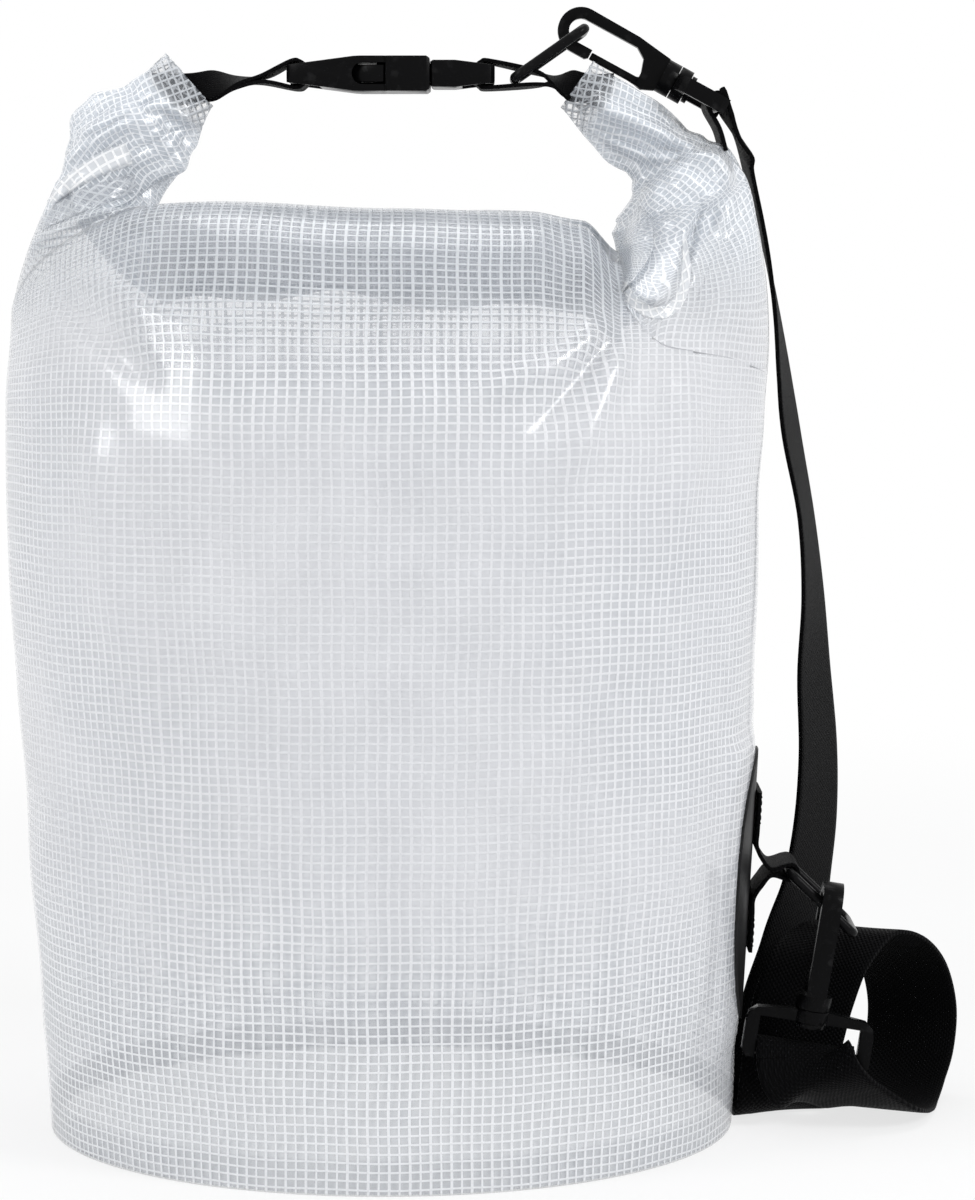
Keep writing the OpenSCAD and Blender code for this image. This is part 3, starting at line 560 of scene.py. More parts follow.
def wall_at(ring, turn, out=0.0):
    """Point of the tube, in millimetres, at a ring count and a turn in radians from +X towards the back."""
    a, b, z_front, z_side = spline(RINGS, ring)
    c, s = math.cos(turn), math.sin(turn)
    z = mix(z_front, z_side, abs(c) ** 6)
    z += table(CROWN_LEAN, a * c) * ease((z - LEAN_FROM) / LEAN_OVER)
    patch = ease((c - 0.9) / 0.04) * ease((z - PATCH_LOW) / 8) * ease((PATCH_HIGH - z) / 8)
    full = table(SIDE_FULL[1 if c > 0 else -1], z) * abs(c) ** 1.5 * (1 - patch)
    below = spline(RINGS, max(ring - 0.05, 0.0))
    above = spline(RINGS, min(ring + 0.05, LAST_RING))
    rise = Vector((above[2] - below[2], below[1] - above[1]))
    rise = rise.normalized() if rise.length else Vector((1, 0))
    out += slack(turn, z) * (1 - patch)
    return Vector(((a + full + out * rise.x) * c, (b + out * rise.x) * s, z + out * rise.y))


def arc_table():
    """Length of the sheet from the base, up the middle of the front, at every eighth of a ring."""
    total, marks, old = 0.0, [0.0], RINGS[0]
    for i in range(1, LAST_RING * ARC_STEPS + 1):
        new = spline(RINGS, i / ARC_STEPS)
        total += math.hypot(new[1] - old[1], new[2] - old[2])
        marks.append(total)
        old = new
    return marks


ARC = arc_table()
SHEET_UP = ARC[-1]


def ring_at(length):
    """Ring count at a length of sheet above the base."""
    low = clamp(bisect_right(ARC, length) - 1, 0, len(ARC) - 2)
    return (low + (length - ARC[low]) / (ARC[low + 1] - ARC[low])) / ARC_STEPS


def sheet_length(ring):
    """Length of sheet above the base at a ring count."""
    i = int(clamp(math.floor(ring * ARC_STEPS), 0, len(ARC) - 2))
    return mix(ARC[i], ARC[i + 1], ring * ARC_STEPS - i)


ROWS = [ring_at(SHEET_UP * i / WALL_ROWS) for i in range(WALL_ROWS + 1)]
# Rim of each horn on the tube: angle round the horn, turn round the bag in degrees, and ring
RIM = {-1: [(0, 0, 12.6), (20, 16, 14.2), (45, 28, 15.3), (80, 40, 16.0), (110, 50, 16.4)],
       1: [(0, 0, 10.6), (12, 14, 10.7), (28, 28, 10.9), (62, 39, 11.0), (94, 47, 11.3), (122, 52.5, 13.0)]}
# The rest of the rim, in the crease: angle, place and turn
INSIDE = {-1: [(150, -75, -12, 288, 56), (180, -74, 0, 285, 61)],
          1: [(150, 71, -28, 271, 57), (180, 70, 0, 266, 62)]}
RIM_LAP = 0.15


def wall_place(u, v):
    return wall_at(ROWS[round(v * WALL_ROWS)], 2 * math.pi * u)


def wall_weave(u, v, side):
    return u * THREADS_ROUND * PITCH_ROUND, v * SHEET_UP


def under_horn(u, v):
    """False where a horn takes over from the tube."""
    turn = (360 * u) % 360
    side = 1 if math.cos(math.radians(turn)) > 0 else -1
    turn = min(turn, 360 - turn) if side > 0 else abs(turn - 180)
    ring = ROWS[min(WALL_ROWS, round(v * WALL_ROWS))]
    for (_, t0, r0), (_, t1, r1) in zip(RIM[side], RIM[side][1:]):
        if turn <= t1:
            return ring < mix(r0, r1, (turn - t0) / (t1 - t0)) + RIM_LAP
    return True


wall = grid_piece("bag_tube", WALL_COLUMNS, WALL_ROWS, wall_place, wall_weave, closed=True, keep=under_horn)
thicken(wall, SHEET)
give(wall, film, "mesh_sheet", "bag", "bag_wall")


# ---- the horns: ends of the roll, gathered and bent up ----

# Axis of each horn through its stations, and its reach outwards, inwards and to the front by station
AXIS = {-1: [(-104, 266), (-100, 281), (-95, 297), (-86, 312), (-75, 325), (-64, 335)],
        1: [(104, 266), (101, 281), (97, 297), (88, 311), (74, 324), (60, 334)]}
OUTER = {-1: [(0, 16), (1, 17), (1.6, 14), (2.1, 11.5), (2.6, 14.5), (3, 17), (3.4, 15.5), (4, 10), (5, 10.5)],
         1: [(0, 16), (1, 18), (2, 17), (2.45, 17), (2.8, 12.5), (3.1, 9.5), (4, 8), (5, 7.5)]}
INNER = {-1: [(0, 26), (1, 22), (2, 18), (3, 18), (3.5, 18), (4, 15.5), (5, 12)],
         1: [(0, 30), (1, 29), (2, 27), (2.45, 24), (2.85, 15.5), (3.1, 13.5), (4, 13), (5, 10)]}
THICK = {-1: [(0, 34), (1, 25), (2, 17), (3, 13.5), (3.6, 11), (4.2, 6.5), (5, 3.4)],
         1: [(0, 34), (1, 28), (2, 22), (2.6, 17), (3, 12.5), (4, 8.5), (5, 3.4)]}
# Stations where the horn has left the tube, of its tip, and of the end of the hem that is turned back inside
JOIN, TIP, HEM_END = 2.0, 5.0, 5.5
AROUND, ALONG = 200, 110
TIP_ROW = round(ALONG * TIP / HEM_END)
# Share by which the threads close up, lean of the weave in degrees, and station where the tip turns clear
GATHER, WEAVE_LEAN, CLEAR_FROM = 1.2, 20, 4.25
# Pleats round a horn: depth, count, twist, start and bluntness
PLEATS = [(4.6, 2.5, 1.6, 0.6, 0.8), (2.2, 4.5, 2.4, 0.7, 0.9)]
# The roll's end in each horn: last station, twist in degrees, share of the horn's section
TURNS_END, TURNS_TWIST, TURNS_SHRINK = 4.3, 25, 0.7
# Folds of the front and back of each horn: line, half width, height, flat share, fade
FRONT_FOLDS = {
    -1: [([(-119, 280), (-109, 285), (-93, 292), (-78, 297)], 3.6, -4.2, 0.0, 0.1),
         ([(-104, 307), (-92, 316.5), (-80, 322)], 3.2, -2.6, 0.0, 0.2),
         ([(-98, 314), (-86, 324), (-74, 331)], 4.0, 2.6, 0.1, 0.2),
         ([(-80, 326), (-70, 326), (-60, 320)], 3.0, -2.4, 0.0, 0.2)],
    1: [([(82, 272.5), (83.5, 283), (89, 296), (99, 304)], 10.5, 9.0, 0.6, 0),
        ([(62, 330), (70, 324.5), (84, 317), (99, 313)], 4.2, 3.6, 0.1, 0.15),
        ([(66, 317), (80, 310.5), (96, 309)], 3.4, -3.2, 0.0, 0.2),
        ([(104, 309), (107, 298), (104, 284)], 4.5, 2.8, 0.1, 0.25),
        ([(98, 296), (97, 284), (94, 268)], 3.2, -2.6, 0.0, 0.2)]}
BACK_FOLDS = {
    -1: [([(-114, 288), (-101, 299), (-86, 306)], 4.5, 4.0, 0.4, 0),
         ([(-118, 279), (-104, 288), (-80, 296)], 3.6, -3.2, 0.0, 0.1),
         ([(-102, 309), (-88, 321), (-74, 331)], 4.0, 3.0, 0.1, 0.2)],
    1: [([(96, 272), (92, 284), (90, 300)], 9.0, 6.0, 0.5, 0),
        ([(112, 286), (104, 300), (92, 310)], 4.0, 3.2, 0.2, 0.2),
        ([(66, 326), (80, 316), (96, 312)], 3.6, -3.0, 0.0, 0.2)]}


def horn_rim(side):
    """Half of the line where a horn leaves the tube, from the outside over the front to the inside:
    angle round the horn, place, turn round the bag in millimetres and length up the sheet."""
    half = []
    for angle, turn, ring in RIM[side]:
        t = math.radians(turn)
        place = wall_at(ring, math.pi + t if side < 0 else -t, 0.25)
        half.append((angle, *place, t * BASE_R, sheet_length(ring)))
    for angle, x, y, z, turn in INSIDE[side]:
        half.append((angle, x, y, z, math.radians(turn) * BASE_R, half[-1][-1] + 8))
    return half


def rim_at(half, angle):
    """Rim values at an angle, with the back as the mirror of the front."""
    folded = min(angle, 360 - angle)
    i = max(k for k in range(len(half) - 1) if half[k][0] <= folded)
    _, x, y, z, turn, length = spline(half, i + (folded - half[i][0]) / (half[i + 1][0] - half[i][0]))
    return Vector((x, y if angle <= 180 else -y, z)), turn, length


def horn_section(side, t, angle, shrink=1.0):
    """Point of the horn at station t and an angle round its axis, 0 outside and 90 in front, and the way it
    runs there."""
    x, z = spline(AXIS[side], t)
    x2, z2 = spline(AXIS[side], min(t + 0.05, TIP))
    x1, z1 = spline(AXIS[side], max(t - 0.05, 0))
    run = Vector((x2 - x1, 0, z2 - z1)).normalized()
    across = Vector((side * run.z, 0, -side * run.x))
    a = math.radians(angle)
    c, s = math.cos(a), math.sin(a)
    wide = table(OUTER[side], t) if c > 0 else table(INNER[side], t)
    thick = table(THICK[side], t)
    gather = ease((t - 0.9) / 1.3) * (1 - 0.75 * ease((t - 3.7) / 0.9))
    pleat = sum((abs(math.sin(count * a - twist * t + start)) ** blunt - 0.6) * deep
                for deep, count, twist, start, blunt in PLEATS)
    pleat += noise.noise(Vector((c * 2.2, s * 2.2, t * 1.3 + side * 5))) * 2.4
    reach = (1 + gather * pleat / max(thick + 8, 14)) * shrink
    return Vector((x, 0, z)) + across * (wide * c * reach) + Vector((0, -thick * s * reach, 0)), run


def wall_climb(p):
    """Direction straight up the tube at a point on it."""
    turn = math.atan2(p.y / 80, p.x / SHOULDER_A)
    best = min(((wall_at(r / 4, turn) - p).length, r / 4) for r in range(36, 72))[1]
    return (wall_at(best + 0.1, turn) - wall_at(best - 0.1, turn)).normalized()


def horn_column(side, half, angle):
    """Points of one line along the horn, from its rim to its tip and round into a turned-in hem."""
    start, turn, length = rim_at(half, angle)
    end, run = horn_section(side, JOIN, angle)
    climb = Vector((side * 0.5, 0, 0.85)) if 130 < angle < 230 else wall_climb(start)
    away = (end - start).length
    m0, m1 = climb * away * 0.9, run * away * 0.8
    s = math.sin(math.radians(angle))
    folds = (FRONT_FOLDS if s > 0 else BACK_FOLDS)[side]
    points = []
    for j in range(ALONG + 1):
        t = HEM_END * j / ALONG
        if t < JOIN:
            f = t / JOIN
            p = curve_between(start, m0, end, m1, f)
            ripple = noise.noise(Vector((p.x / 15, p.y / 15, p.z / 22))) * 2.0
            p.y -= s * ripple * ease(f * 3) * ease((1 - f) * 3)
        elif t <= TIP:
            p = horn_section(side, t, angle)[0]
        else:
            p = horn_section(side, 2 * TIP - t, angle, 1.1 - 0.45 * ease((t - TIP) / 0.12))[0]
        if t <= TIP:
            p.y -= math.copysign(fold_height(folds, p.x, p.z) * ease(abs(s) * 2.2) * ease(t * 8), s)
        points.append(p)
    return points, turn, length


def front_of(columns):
    """Points of the front of a horn, and a search tree of them as seen from the front."""
    front = [p for points, _, _ in columns[:AROUND // 2 + 1] for p in points[:TIP_ROW + 1]]
    tree = KDTree(len(front))
    for i, p in enumerate(front):
        tree.insert((p.x, p.z, 0), i)
    tree.balance()
    return tree, front


HORN_FRONT = {}


def make_horn(side, name):
    """The sleeve of a horn. Its front is kept for the pleats that lie on it."""
    half = horn_rim(side)
    columns = [horn_column(side, half, 360 * i / AROUND) for i in range(AROUND)]
    HORN_FRONT[side] = front_of(columns)
    ups = []
    for points, _, length in columns:
        up = [length]
        for p, q in zip(points, points[1:]):
            up.append(up[-1] + (q - p).length)
        ups.append(up)
    rounds = []
    for j in range(ALONG + 1):
        run = [0.0]
        for i in range(AROUND):
            run.append(run[-1] + (columns[(i + 1) % AROUND][0][j] - columns[i][0][j]).length)
        rounds.append(run)
    middle = math.pi * BASE_R if side < 0 else 0.0
    mark = AROUND // 6
    lean_c, lean_s = math.cos(math.radians(WEAVE_LEAN)), math.sin(math.radians(WEAVE_LEAN))

    def place(u, v):
        return columns[round(u * AROUND) % AROUND][0][round(v * ALONG)]

    def weave(u, v, face):
        """Near the rim the threads carry on from the tube; on the horn they keep their pitch and lean with
        its twist, measured from a marked column."""
        i, j = round(u * AROUND), round(v * ALONG)
        ahead = face < 0.5
        sign = (1 if ahead else -1) * (1 if side < 0 else -1)
        run = rounds[j]
        past = (run[i] - run[mark] if ahead else run[AROUND - mark] - run[i]) * GATHER
        rise = (ups[mark][j] - ups[mark][0]) * GATHER
        over = columns[mark][1] + past * lean_c - rise * lean_s
        high = ups[mark][0] + past * lean_s + rise * lean_c
        inside = ease((min(u, 1 - u) * 360 - 96) / 26)
        share = ease((HEM_END * j / ALONG / JOIN - 0.15) / 0.6 + inside)
        bare = 1.6 * ease((HEM_END * min(j, 2 * TIP_ROW - j) / ALONG - CLEAR_FROM) / 0.35)
        turn = columns[i % AROUND][1]
        return middle + sign * mix(turn, over, share), mix(ups[i % AROUND][j], high, share), share - bare

    return thicken(grid_piece(name, AROUND, ALONG, place, weave, closed=True, turned=side > 0), SHEET)


def make_turns(side, name):
    """The turns of the roll where they leave its end and bend up inside the horn."""
    drop = 9 if side > 0 else 0

    def place(u, v):
        angle, t = 360 * u, TURNS_END * v
        end, run = horn_section(side, max(t, JOIN), angle + TURNS_TWIST, TURNS_SHRINK)
        if t >= JOIN:
            return end
        a = math.radians(angle)
        start = Vector((side * 73.0, -6.4 * math.sin(a), 278 - 13.5 * math.cos(a) - drop))
        return curve_between(start, Vector((side * 26, 0, 0)), end, run * 24, t / JOIN)

    def weave(u, v, face):
        return u * 84, v * 92

    return thicken(grid_piece(name, 72, 60, place, weave, closed=True, turned=side > 0), SHEET)


def make_tuck(side, name, line, half, rise, round_top, lean):
    """A pleat that lies on the front of a horn along a line: its half width at each stop, its height, a round
    or a flat top, and the lean of its threads in degrees."""
    tree, front = HORN_FRONT[side]
    last = len(line) - 1
    length = sum(math.hypot(x1 - x0, z1 - z0) for (x0, z0), (x1, z1) in zip(line, line[1:]))
    c, s = math.cos(math.radians(lean)), math.sin(math.radians(lean))
    sunk = 0.35

    def flat(u, v):
        x, z = spline(line, v * last)
        x1, z1 = spline(line, min(v + 0.02, 1) * last)
        x0, z0 = spline(line, max(v - 0.02, 0) * last)
        long = math.hypot(x1 - x0, z1 - z0)
        off = (2 * u - 1) * spline([(h,) for h in half], v * last)[0]
        return x - (z1 - z0) / long * off, z + (x1 - x0) / long * off, off

    def place(u, v):
        x, z, _ = flat(u, v)
        under = [front[i].y for _, i, _ in tree.find_n((x, z, 0), 14)]
        edge = abs(2 * u - 1)
        top = math.sqrt(max(0.0, 1 - edge ** 2)) if round_top else 1 - edge ** 5
        top *= ease(v / 0.2) * ease((1 - v) / 0.07)
        return Vector((x, sum(under) / len(under) + sunk - (rise + sunk) * top, z))

    def weave(u, v, face):
        off = flat(u, v)[2] * (1.5 if round_top else 1.0)
        return off * c - v * length * s, off * s + v * length * c

    rows = max(12, int(length / 0.8))
    return thicken(grid_piece(name, 16, rows, place, weave, turned=True), PLEAT_SHEET)


def horn_bend(obj):
    """Bakes the placement of a sheet at the left horn into its mesh."""
    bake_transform(obj)


left_horn = give(make_horn(-1, "left_horn_sleeve"), film_horn, "mesh_sheet")
horn_bend(left_horn)
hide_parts("left_horn")
horn_bend(give(make_turns(-1, "left_horn_turns"), film_turns, "mesh_sheet"))
horn_bend(give(make_tuck(-1, "left_horn_pleat", [(-108, 295), (-101, 301.5), (-91, 307.5), (-81.5, 311)],
                         [1.6, 2.8, 3.6, 4.0], 2.6, False, 6), film_pleat, "mesh_sheet"))
horn_bend(give(make_tuck(-1, "left_horn_twist", [(-111, 287.5), (-104, 292.5), (-94, 297), (-79.5, 302)],
                         [1.6, 3.2, 3.8, 3.2], 3.4, True, 38), film_horn, "mesh_sheet"))
give(make_horn(1, "right_horn_sleeve"), film_horn, "mesh_sheet", "bag", "right_horn")
give(make_turns(1, "right_horn_turns"), film_turns, "mesh_sheet", "bag")
LIP = [(72.5, 279), (73.5, 269.5), (78, 263.5), (84.5, 262), (90, 266), (92.5, 275), (92, 286)]
give(make_tuck(1, "right_horn_lip", LIP, [0.8, 1.5, 1.9, 2.0, 1.9, 1.5, 0.8], 1.1, True, 30),
     film_pleat, "mesh_sheet", "bag")


# ---- the rolled mouth ----

ROLL_TURNS, TURN_STEPS, ROLL_HALF, ROLL_Z = 3, 48, 73.5, 279.3


def roll_profile():
    """Flattened spiral of the roll in the YZ plane."""
    points = []
    for i in range(ROLL_TURNS * TURN_STEPS + 1):
        turn = i / TURN_STEPS
        grow = turn / ROLL_TURNS
        a = 2 * math.pi * turn - math.pi / 2
        c, s = math.cos(a), math.sin(a)
        y = mix(1.9, 6.6, grow) * math.copysign(abs(c) ** 0.55, c)
        z = mix(10.0, 14.4, grow) * math.copysign(abs(s) ** 0.8, s)
        points.append((y, ROLL_Z + z))
    return points


ROLL = roll_profile()


def roll_place(u, v):
    y, z = ROLL[round(v * (len(ROLL) - 1))]
    x = mix(-ROLL_HALF, ROLL_HALF, u)
    end = ease((abs(x) - 58) / 15)
    sag = -0.9 * math.cos(math.pi * x / (2 * ROLL_HALF)) + noise.noise(Vector((x / 24, y / 9, z / 9))) * 0.9
    sag += table(CROWN_LEAN, x * 0.98) * 0.75
    sag += (noise.noise(Vector((x / 33, 9, 2))) * 5.0 - 1.0) * ease((279 - z) / 12)
    y = y * (1 - 0.25 * end) + noise.noise(Vector((x / 30, 4, z / 20))) * 0.8
    return Vector((x, y, z + sag - 2.0 * end))


def roll_weave(u, v, side):
    return u * 2 * ROLL_HALF, v * 190


roll = grid_piece("rolled_mouth_sheet", 90, len(ROLL) - 1, roll_place, roll_weave, turned=True)
thicken(roll, THIN_SHEET, 0.0)
give(roll, film_rolled_painted_shade, "mesh_sheet", "bag", "rolled_mouth")
give(frame["nodes"]["mouth_stiffener"], strip_clear, "stiffener")


# ---- the round base and the seam ----

# Share of the base's rows in its disc, before the fold up into the flange, and that of the fold in the rest
DISC, FOLD = 0.8, 0.3
DISC_R, DISC_Z = 109.9, 0.3


def base_place(u, v):
    a = 2 * math.pi * u
    if v <= DISC:
        wide = deep = DISC_R * v / DISC
        z = DISC_Z + 1.2 * (1 - (v / DISC) ** 2)
    elif (v - DISC) / (1 - DISC) < FOLD:
        wide = deep = DISC_R
        z = DISC_Z + (v - DISC) / (1 - DISC)
    else:
        z = mix(FOOT_Z, FLANGE_Z, ((v - DISC) / (1 - DISC) - FOLD) / (1 - FOLD))
        wide, deep = half_w(z) - 1.0, half_d(z) - 1.0
    return Vector((wide * math.cos(a), deep * math.sin(a), z))


def base_weave(u, v, side):
    if v > DISC:
        return u * 691.15, (v - DISC) * 50
    a = 2 * math.pi * u
    r = BASE_R * v / DISC
    return r * math.cos(a), r * math.sin(a)


base = grid_piece("round_base", 160, 40, base_place, base_weave, closed=True)
thicken(base, THIN_SHEET, 0.0)
give(base, film_base, "mesh_sheet", "bag", "base_panel")

SEAM_HALF, SEAM_FOOT, SEAM_TOP = 9.0, 3.0, ARC[CROWN_RING * ARC_STEPS]


def seam_place(u, v):
    half = SEAM_HALF / SHOULDER_A
    return wall_at(ring_at(mix(SEAM_FOOT, SEAM_TOP - 12, v)), math.pi / 2 + mix(half, -half, u), 0.7)


def seam_weave(u, v, side):
    return u * 2 * SEAM_HALF, v * SEAM_TOP


seam = grid_piece("back_lap_seam", 10, 120, seam_place, seam_weave)
thicken(seam, THIN_SHEET)
give(seam, film_lap, "mesh_sheet", "bag", "back_seam")


# ---- moulded hardware and the patch: CAD shapes with eased edges ----

def eased(node, name, material, slot, width, angle=28.0):
    """A copy of a CAD node with its doubles merged, its flat faces joined and its edges bevelled."""
    source = frame["nodes"][node]
    bm = bmesh.new()
    bm.from_mesh(source.data)
    bmesh.ops.remove_doubles(bm, verts=bm.verts, dist=2e-6)
    bmesh.ops.dissolve_limit(bm, angle_limit=math.radians(2.0), verts=bm.verts, edges=bm.edges)
    obj = piece_from(bm, name, scale=1.0)
    edge = obj.modifiers.new("eased_edges", "BEVEL")
    edge.width, edge.segments, edge.limit_method = width * MM, 2, "ANGLE"
    edge.angle_limit = math.radians(angle)
    edge.harden_normals = True
    return give(obj, material, slot, source["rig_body"], node)


for node_name, edge_width in [("buckle_socket", 0.5), ("buckle_plug", 0.5), ("front_spring_arm", 0.3),
                              ("back_spring_arm", 0.3), ("upper_hook", 0.5), ("upper_gate", 0.35),
                              ("upper_swivel", 0.5), ("lower_hook", 0.5), ("lower_gate", 0.35),
                              ("lower_swivel", 0.5)]:
    eased(node_name, node_name + "_moulded", moulding, "moulding", edge_width)
for node_name in ("handle_ring", "side_ring"):
    eased(node_name, node_name + "_wire", wire_black, "moulding", 0.05, 60)
eased("side_patch", "side_patch_welded", patch_black, "patch_sheet", 0.25, 40)


# ---- webbing ----

STRAP_WIDE, STRAP_THICK = 32.0, 1.5
WEB_WIDE, WEB_THICK = 25.0, 1.3
SECTION, STEPS = 24, 8
ACROSS_Y = (0, 1, 0)


def ribbon(name, stops, width, thickness, floor=False, pinch=None):
    """A flat woven band: each stop is (place, direction across). The section is rounded at its edges, pinch
    gives the share of the width left at each stop, and a band that lies on the floor is pressed flat there."""
    places = [tuple(p) for p, _ in stops]
    acrosses = [tuple(a) for _, a in stops]
    rows = (len(stops) - 1) * STEPS
    half, thin = width / 2, thickness / 2
    section = []
    for i in range(SECTION):
        a = 2 * math.pi * i / SECTION
        c, s = math.cos(a), math.sin(a)
        section.append(((half - thin) * clamp(1.25 * c, -1, 1) + thin * 0.9 * c,
                        thin * math.copysign(min(1, abs(1.6 * s) ** 0.8), s)))
    middles = [Vector(spline(places, i / STEPS)) for i in range(rows + 1)]
    lengths = [0.0]
    for p, q in zip(middles, middles[1:]):
        lengths.append(lengths[-1] + (q - p).length)

    def place(u, v):
        row = round(v * rows)
        t = row / STEPS
        along = Vector(spline(places, min(t + 0.1, len(stops) - 1))) - Vector(spline(places, max(t - 0.1, 0)))
        along.normalize()
        side = Vector(spline(acrosses, t))
        side = (side - along * side.dot(along)).normalized()
        up = along.cross(side)
        x, y = section[round(u * SECTION) % SECTION]
        p = middles[row] + side * (x * (spline(pinch, t)[0] if pinch else 1.0)) + up * y
        if floor:
            p.z = max(p.z, thickness if y * up.z > 0 else 0.0)
        return p

    def weave(u, v, side):
        return lengths[round(v * rows)], section[round(u * SECTION) % SECTION][0] + half

    made = grid_piece(name, SECTION, rows, place, weave, closed=True)
    bm = bmesh.new()
    bm.from_mesh(made.data)
    bmesh.ops.holes_fill(bm, edges=[e for e in bm.edges if e.is_boundary], sides=0)
    bmesh.ops.recalc_face_normals(bm, faces=bm.faces)
    bm.to_mesh(made.data)
    bm.free()
    return made


UPPER_BAR = Vector((103.853, 8.0, 326.953))
LOWER_BAR = Vector((132.928, -15.1, 23.671))
LOWER_ACROSS = (math.cos(math.radians(9)), 0, -math.sin(math.radians(9)))
# Middle of the strap round a swivel's bar: radius of the bar, play and half the strap
WRAP = 2.4 + 0.15 + STRAP_THICK / 2


def round_upper(angle):
    return UPPER_BAR + WRAP * around(angle), ACROSS_Y


def round_lower(angle):
    turn = around(angle)
    return LOWER_BAR + WRAP * Vector((0, -turn.x, turn.z)), LOWER_ACROSS


def from_upper(x, y, z, side_x, side_y):
    return UPPER_BAR + Vector((x, y, z)), (side_x, side_y, 0)


def from_lower(x, y, z, side_x, side_y):
    """A stop beside the lower bar, at a height above the floor."""
    return Vector((LOWER_BAR.x + x, LOWER_BAR.y + y, z)), (side_x, side_y, 0)


# Stops of the strap: place off a bar, and direction across
SEWN_UP = [(2.6, 0, -15, 0, 1), (0.6, 0, -8, 0, 1)]
FALL = [(5.6, 2.5, -7, 0, 1), (9.1, 7, -14, 0, 1), (13, 13, -28, 0, 1), (17.7, 18, -47, 0.04, 1),
        (21.4, 22, -67, 0.1, 1), (24, 24, -86, 0.18, 1), (26.7, 25, -105.5, 0.23, 0.97),
        (31.9, 28, -132.5, 0.21, 0.98), (34.6, 30.5, -159, 0.27, 0.96)]
FOOT = [(6.3, 55.6, 142, 0.38, 0.92), (8.1, 58.1, 115, 0.44, 0.9), (7.5, 60, 90, 0.5, 0.87),
        (4.1, 59.6, 66, 0.57, 0.82), (-0.1, 53, 46, 0.73, 0.68), (-4.3, 46.4, 29, 0.85, 0.53),
        (-6.6, 40, 13, 0.91, 0.42), (-7.1, 33.6, 2.6, 0.92, 0.39)]
LOOP = [(-6.9, 27, 1, 0.92, 0.39), (-6.6, 20, 1.8, 0.93, 0.36), (-5.9, 15, 6.5, 0.95, 0.3),
        (-4.4, 13.6, 16, 0.97, 0.2), (-1.9, 15.1, 28, 0.98, 0.05), (1.6, 18.1, 40, 0.97, -0.15),
        (7.5, 23.5, 51, 0.94, -0.3), (17.5, 33, 58, 0.89, -0.44), (28, 43, 54.5, 0.87, -0.48),
        (36, 51.6, 44.5, 0.87, -0.48), (40, 56, 30, 0.87, -0.48), (39, 54, 16, 0.87, -0.48),
        (35, 47, 6, 0.87, -0.47), (31, 35, 1.8, 0.87, -0.46), (27.7, 20.5, 2.4, 0.88, -0.44),
        (22.5, 7, 5.4, 0.9, -0.4), (13, 0.6, 10.5, 0.94, -0.3), (5.2, -3.8, 15.5, 0.98, -0.15),
        (0.6, -4.4, 20, 0.99, -0.02)]
SEWN_LOW = (-0.9, 3.2, 16.5, 0.99, 0)
ROUTE = ([from_upper(*stop) for stop in SEWN_UP] + [round_upper(a) for a in (210, 150, 95, 45, 0)]
         + [from_upper(*stop) for stop in FALL] + [from_lower(*stop) for stop in FOOT + LOOP]
         + [round_lower(a) for a in (0, 45, 90, 135, 180)] + [from_lower(*SEWN_LOW)])
strap = ribbon("shoulder_strap", ROUTE, STRAP_WIDE, STRAP_THICK, floor=True)
give(strap, webbing, "webbing", "bag", "strap_run", "strap_loop")


def web_loop(name, bar, throat, start, inside):
    """A handle loop: face on and folded narrow in the tip of the horn, then edge on, round the bar and back."""
    bar, throat, start = (Vector((x, 0, z)) for x, z in (bar, throat, start))
    run = (bar - throat).normalized()
    up = Vector((-run.z, 0, run.x))
    if up.z < 0:
        up = -up
    lean = Vector((math.copysign(0.66, start.x), 0, 0.75))
    radius = 3.4 + 0.2 + WEB_THICK / 2
    lip = up * (inside + WEB_THICK / 2)
    out, back = [], []
    for share, width in ((-0.32, 0.5), (0.0, 0.4), (0.3, 0.4), (0.65, 0.7)):
        turned = ease(share / 0.9)
        middle = start.lerp(throat, share)
        apart = Vector((0, -0.72 * (1 - turned), 0)) + up * (0.72 * turned)
        across = lean.lerp(Vector(ACROSS_Y), turned)
        out.append(((middle + apart, across), (width,)))
        back.insert(0, ((middle - apart, across), (width,)))
    bend = [(throat + lip, ACROSS_Y)]
    for angle in (100, 60, 20, -20, -60, -100):
        a = math.radians(angle)
        bend.append((bar + run * (radius * math.cos(a)) + up * (radius * math.sin(a)), ACROSS_Y))
    bend.append((throat - lip, ACROSS_Y))
    stops, pinch = zip(*out, *[(stop, (1.0,)) for stop in bend], *back)
    return ribbon(name, stops, WEB_WIDE, WEB_THICK, pinch=pinch)


give(web_loop("left_web_loop_band", (-29.7, 336), (-39.7, 334.6), (-66.3, 331.5), 0.4), webbing, "webbing",
     "left_handle", "left_web_loop")
give(web_loop("right_web_loop_band", (30.8, 336), (46.2, 334.8), (64.3, 331.5), 1.4), webbing, "webbing",
     "bag", "right_web_loop")

# Eye of the side tab, and its middle off the tube: play, patch, play and half the webbing
TAB = Vector((128.068, 0, 82.0))
TAB_OFF = 0.1 + 0.9 + 0.15 + WEB_THICK / 2
TAB_EYE = 2.55


def on_patch(rise):
    z = TAB.z + rise
    return Vector((half_w(z) + TAB_OFF, 0, z)), ACROSS_Y


def pinched(x, rise):
    return TAB + Vector((x, 0, rise)), ACROSS_Y


def round_tab(angle):
    return TAB + TAB_EYE * around(angle), ACROSS_Y


TAB_ROUTE = ([on_patch(25.9), on_patch(13.9), on_patch(8.5), pinched(-9, 4.2), pinched(-6, 1.05)]
             + [round_tab(a) for a in (118, 70, 24, -24, -70, -118)]
             + [pinched(-6, -1.05), pinched(-9, -4.2), on_patch(-8.5), on_patch(-13.9), on_patch(-25.9)])
give(ribbon("side_tab_band", TAB_ROUTE, WEB_WIDE, WEB_THICK), webbing, "webbing", "bag", "side_tab")


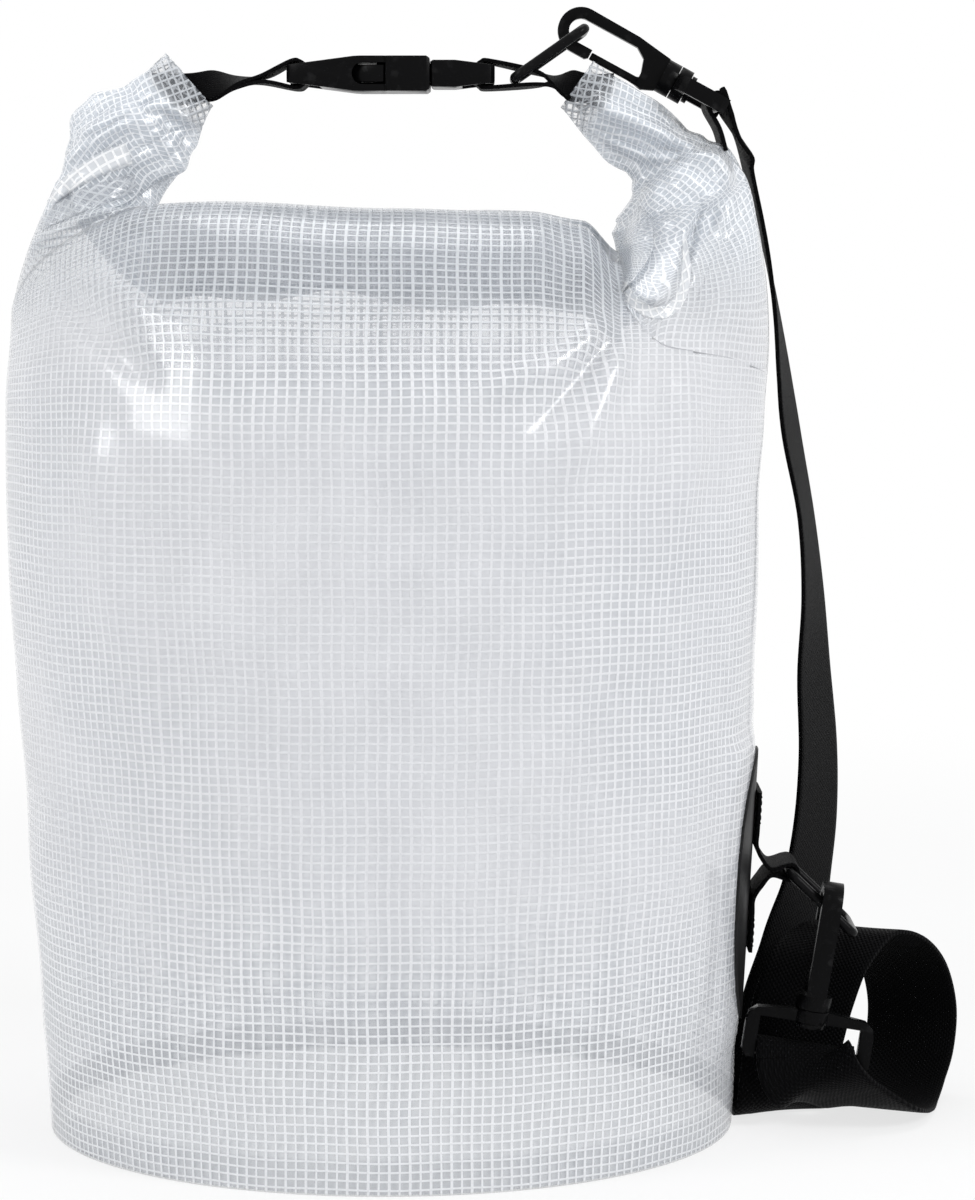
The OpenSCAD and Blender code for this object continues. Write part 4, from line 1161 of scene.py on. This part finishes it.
def tab_stitches():
    """A sewn box on each leg of the tab: rows of short stitches that sit half in the webbing."""
    long, short, high = 0.95, 0.34, 0.3
    box = [(y * 2.5, rise, long, short) for rise in (-4.2, 4.2) for y in range(-4, 5)]
    box += [(y, rise * 2.4, short, long) for y in (-10.0, 10.0) for rise in (-1, 0, 1)]
    bm = bmesh.new()
    for leg in (19.9, -19.9):
        for y, rise, wide, tall in box:
            z = TAB.z + leg + rise
            seat = Matrix.Translation((half_w(z) + TAB_OFF + WEB_THICK / 2, y, z))
            bmesh.ops.create_uvsphere(bm, u_segments=8, v_segments=5, radius=1.0,
                                      matrix=seat @ Matrix.Diagonal((high, wide, tall, 1)))
    return piece_from(bm, "side_tab_stitches")


give(tab_stitches(), stitch_black, "webbing", "bag")


# ---- floor, light and camera ----

def floor_finish():
    """Pale paint that takes the shadow, and turns to plain white away from the bag."""
    f = finish_named("pale_floor")
    place = f.place()
    away = f.step(f.node("VectorMath", {0: place}, output=1, operation="LENGTH"), 0.3, 1.1)
    paint = f.blend(f.speckle(place, 3.0), (0.84, 0.845, 0.85, 1), (0.88, 0.885, 0.89, 1))
    matt = f.node("BsdfDiffuse", {"Color": paint})
    glow = f.node("Emission", {"Color": (1, 1, 1, 1), "Strength": 1.0})
    f.node("OutputMaterial",
           {0: f.node("MixShader", {0: f.plain_rays() * (0.74 + away * 0.26), 1: matt, 2: glow})})
    return f.holder


floor_mesh = bmesh.new()
bmesh.ops.create_circle(floor_mesh, cap_ends=True, segments=96, radius=4000)
floor = piece_from(floor_mesh, "floor", False)
floor.data.materials.append(floor_finish())

scene = bpy.context.scene
scene.world = bpy.data.worlds.new("studio")
sky = Finish(scene.world)
sky.node("OutputWorld", {0: sky.node("Background", {0: (1, 1, 1, 1), 1: 0.5 + sky.plain_rays() * 0.5})})


def aimed(name, data, place, aim):
    """A lamp or camera that looks from a place at its aim."""
    obj = bpy.data.objects.new(name, data)
    obj.location = place
    obj.rotation_euler = (Vector(aim) - Vector(place)).to_track_quat("-Z", "Y").to_euler()
    scene.collection.objects.link(obj)
    return obj


for lamp, place, aim, size, power in [("key_soft", (1.1, -0.72, 0.95), (0, 0, 0.17), (0.45, 0.55), 11.0),
                                      ("left_soft", (-1.1, -0.65, 0.85), (0, 0, 0.18), (0.55, 0.75), 8.0),
                                      ("top_soft", (0.0, 0.25, 1.35), (0, 0, 0.2), (0.8, 0.6), 4.5)]:
    light = bpy.data.lights.new(lamp, "AREA")
    light.shape, light.energy = "RECTANGLE", power
    light.size, light.size_y = size
    aimed(lamp, light, place, aim)

camera = bpy.data.cameras.new("camera")
camera.lens, camera.sensor_width, camera.sensor_fit = 121.9, 36.0, "AUTO"
camera.clip_start, camera.clip_end = 0.05, 50
scene.camera = aimed("camera", camera, (0.031, -1.3, 0.29), (0.031, 0, 0.1686))
scene.view_settings.view_transform = "Standard"
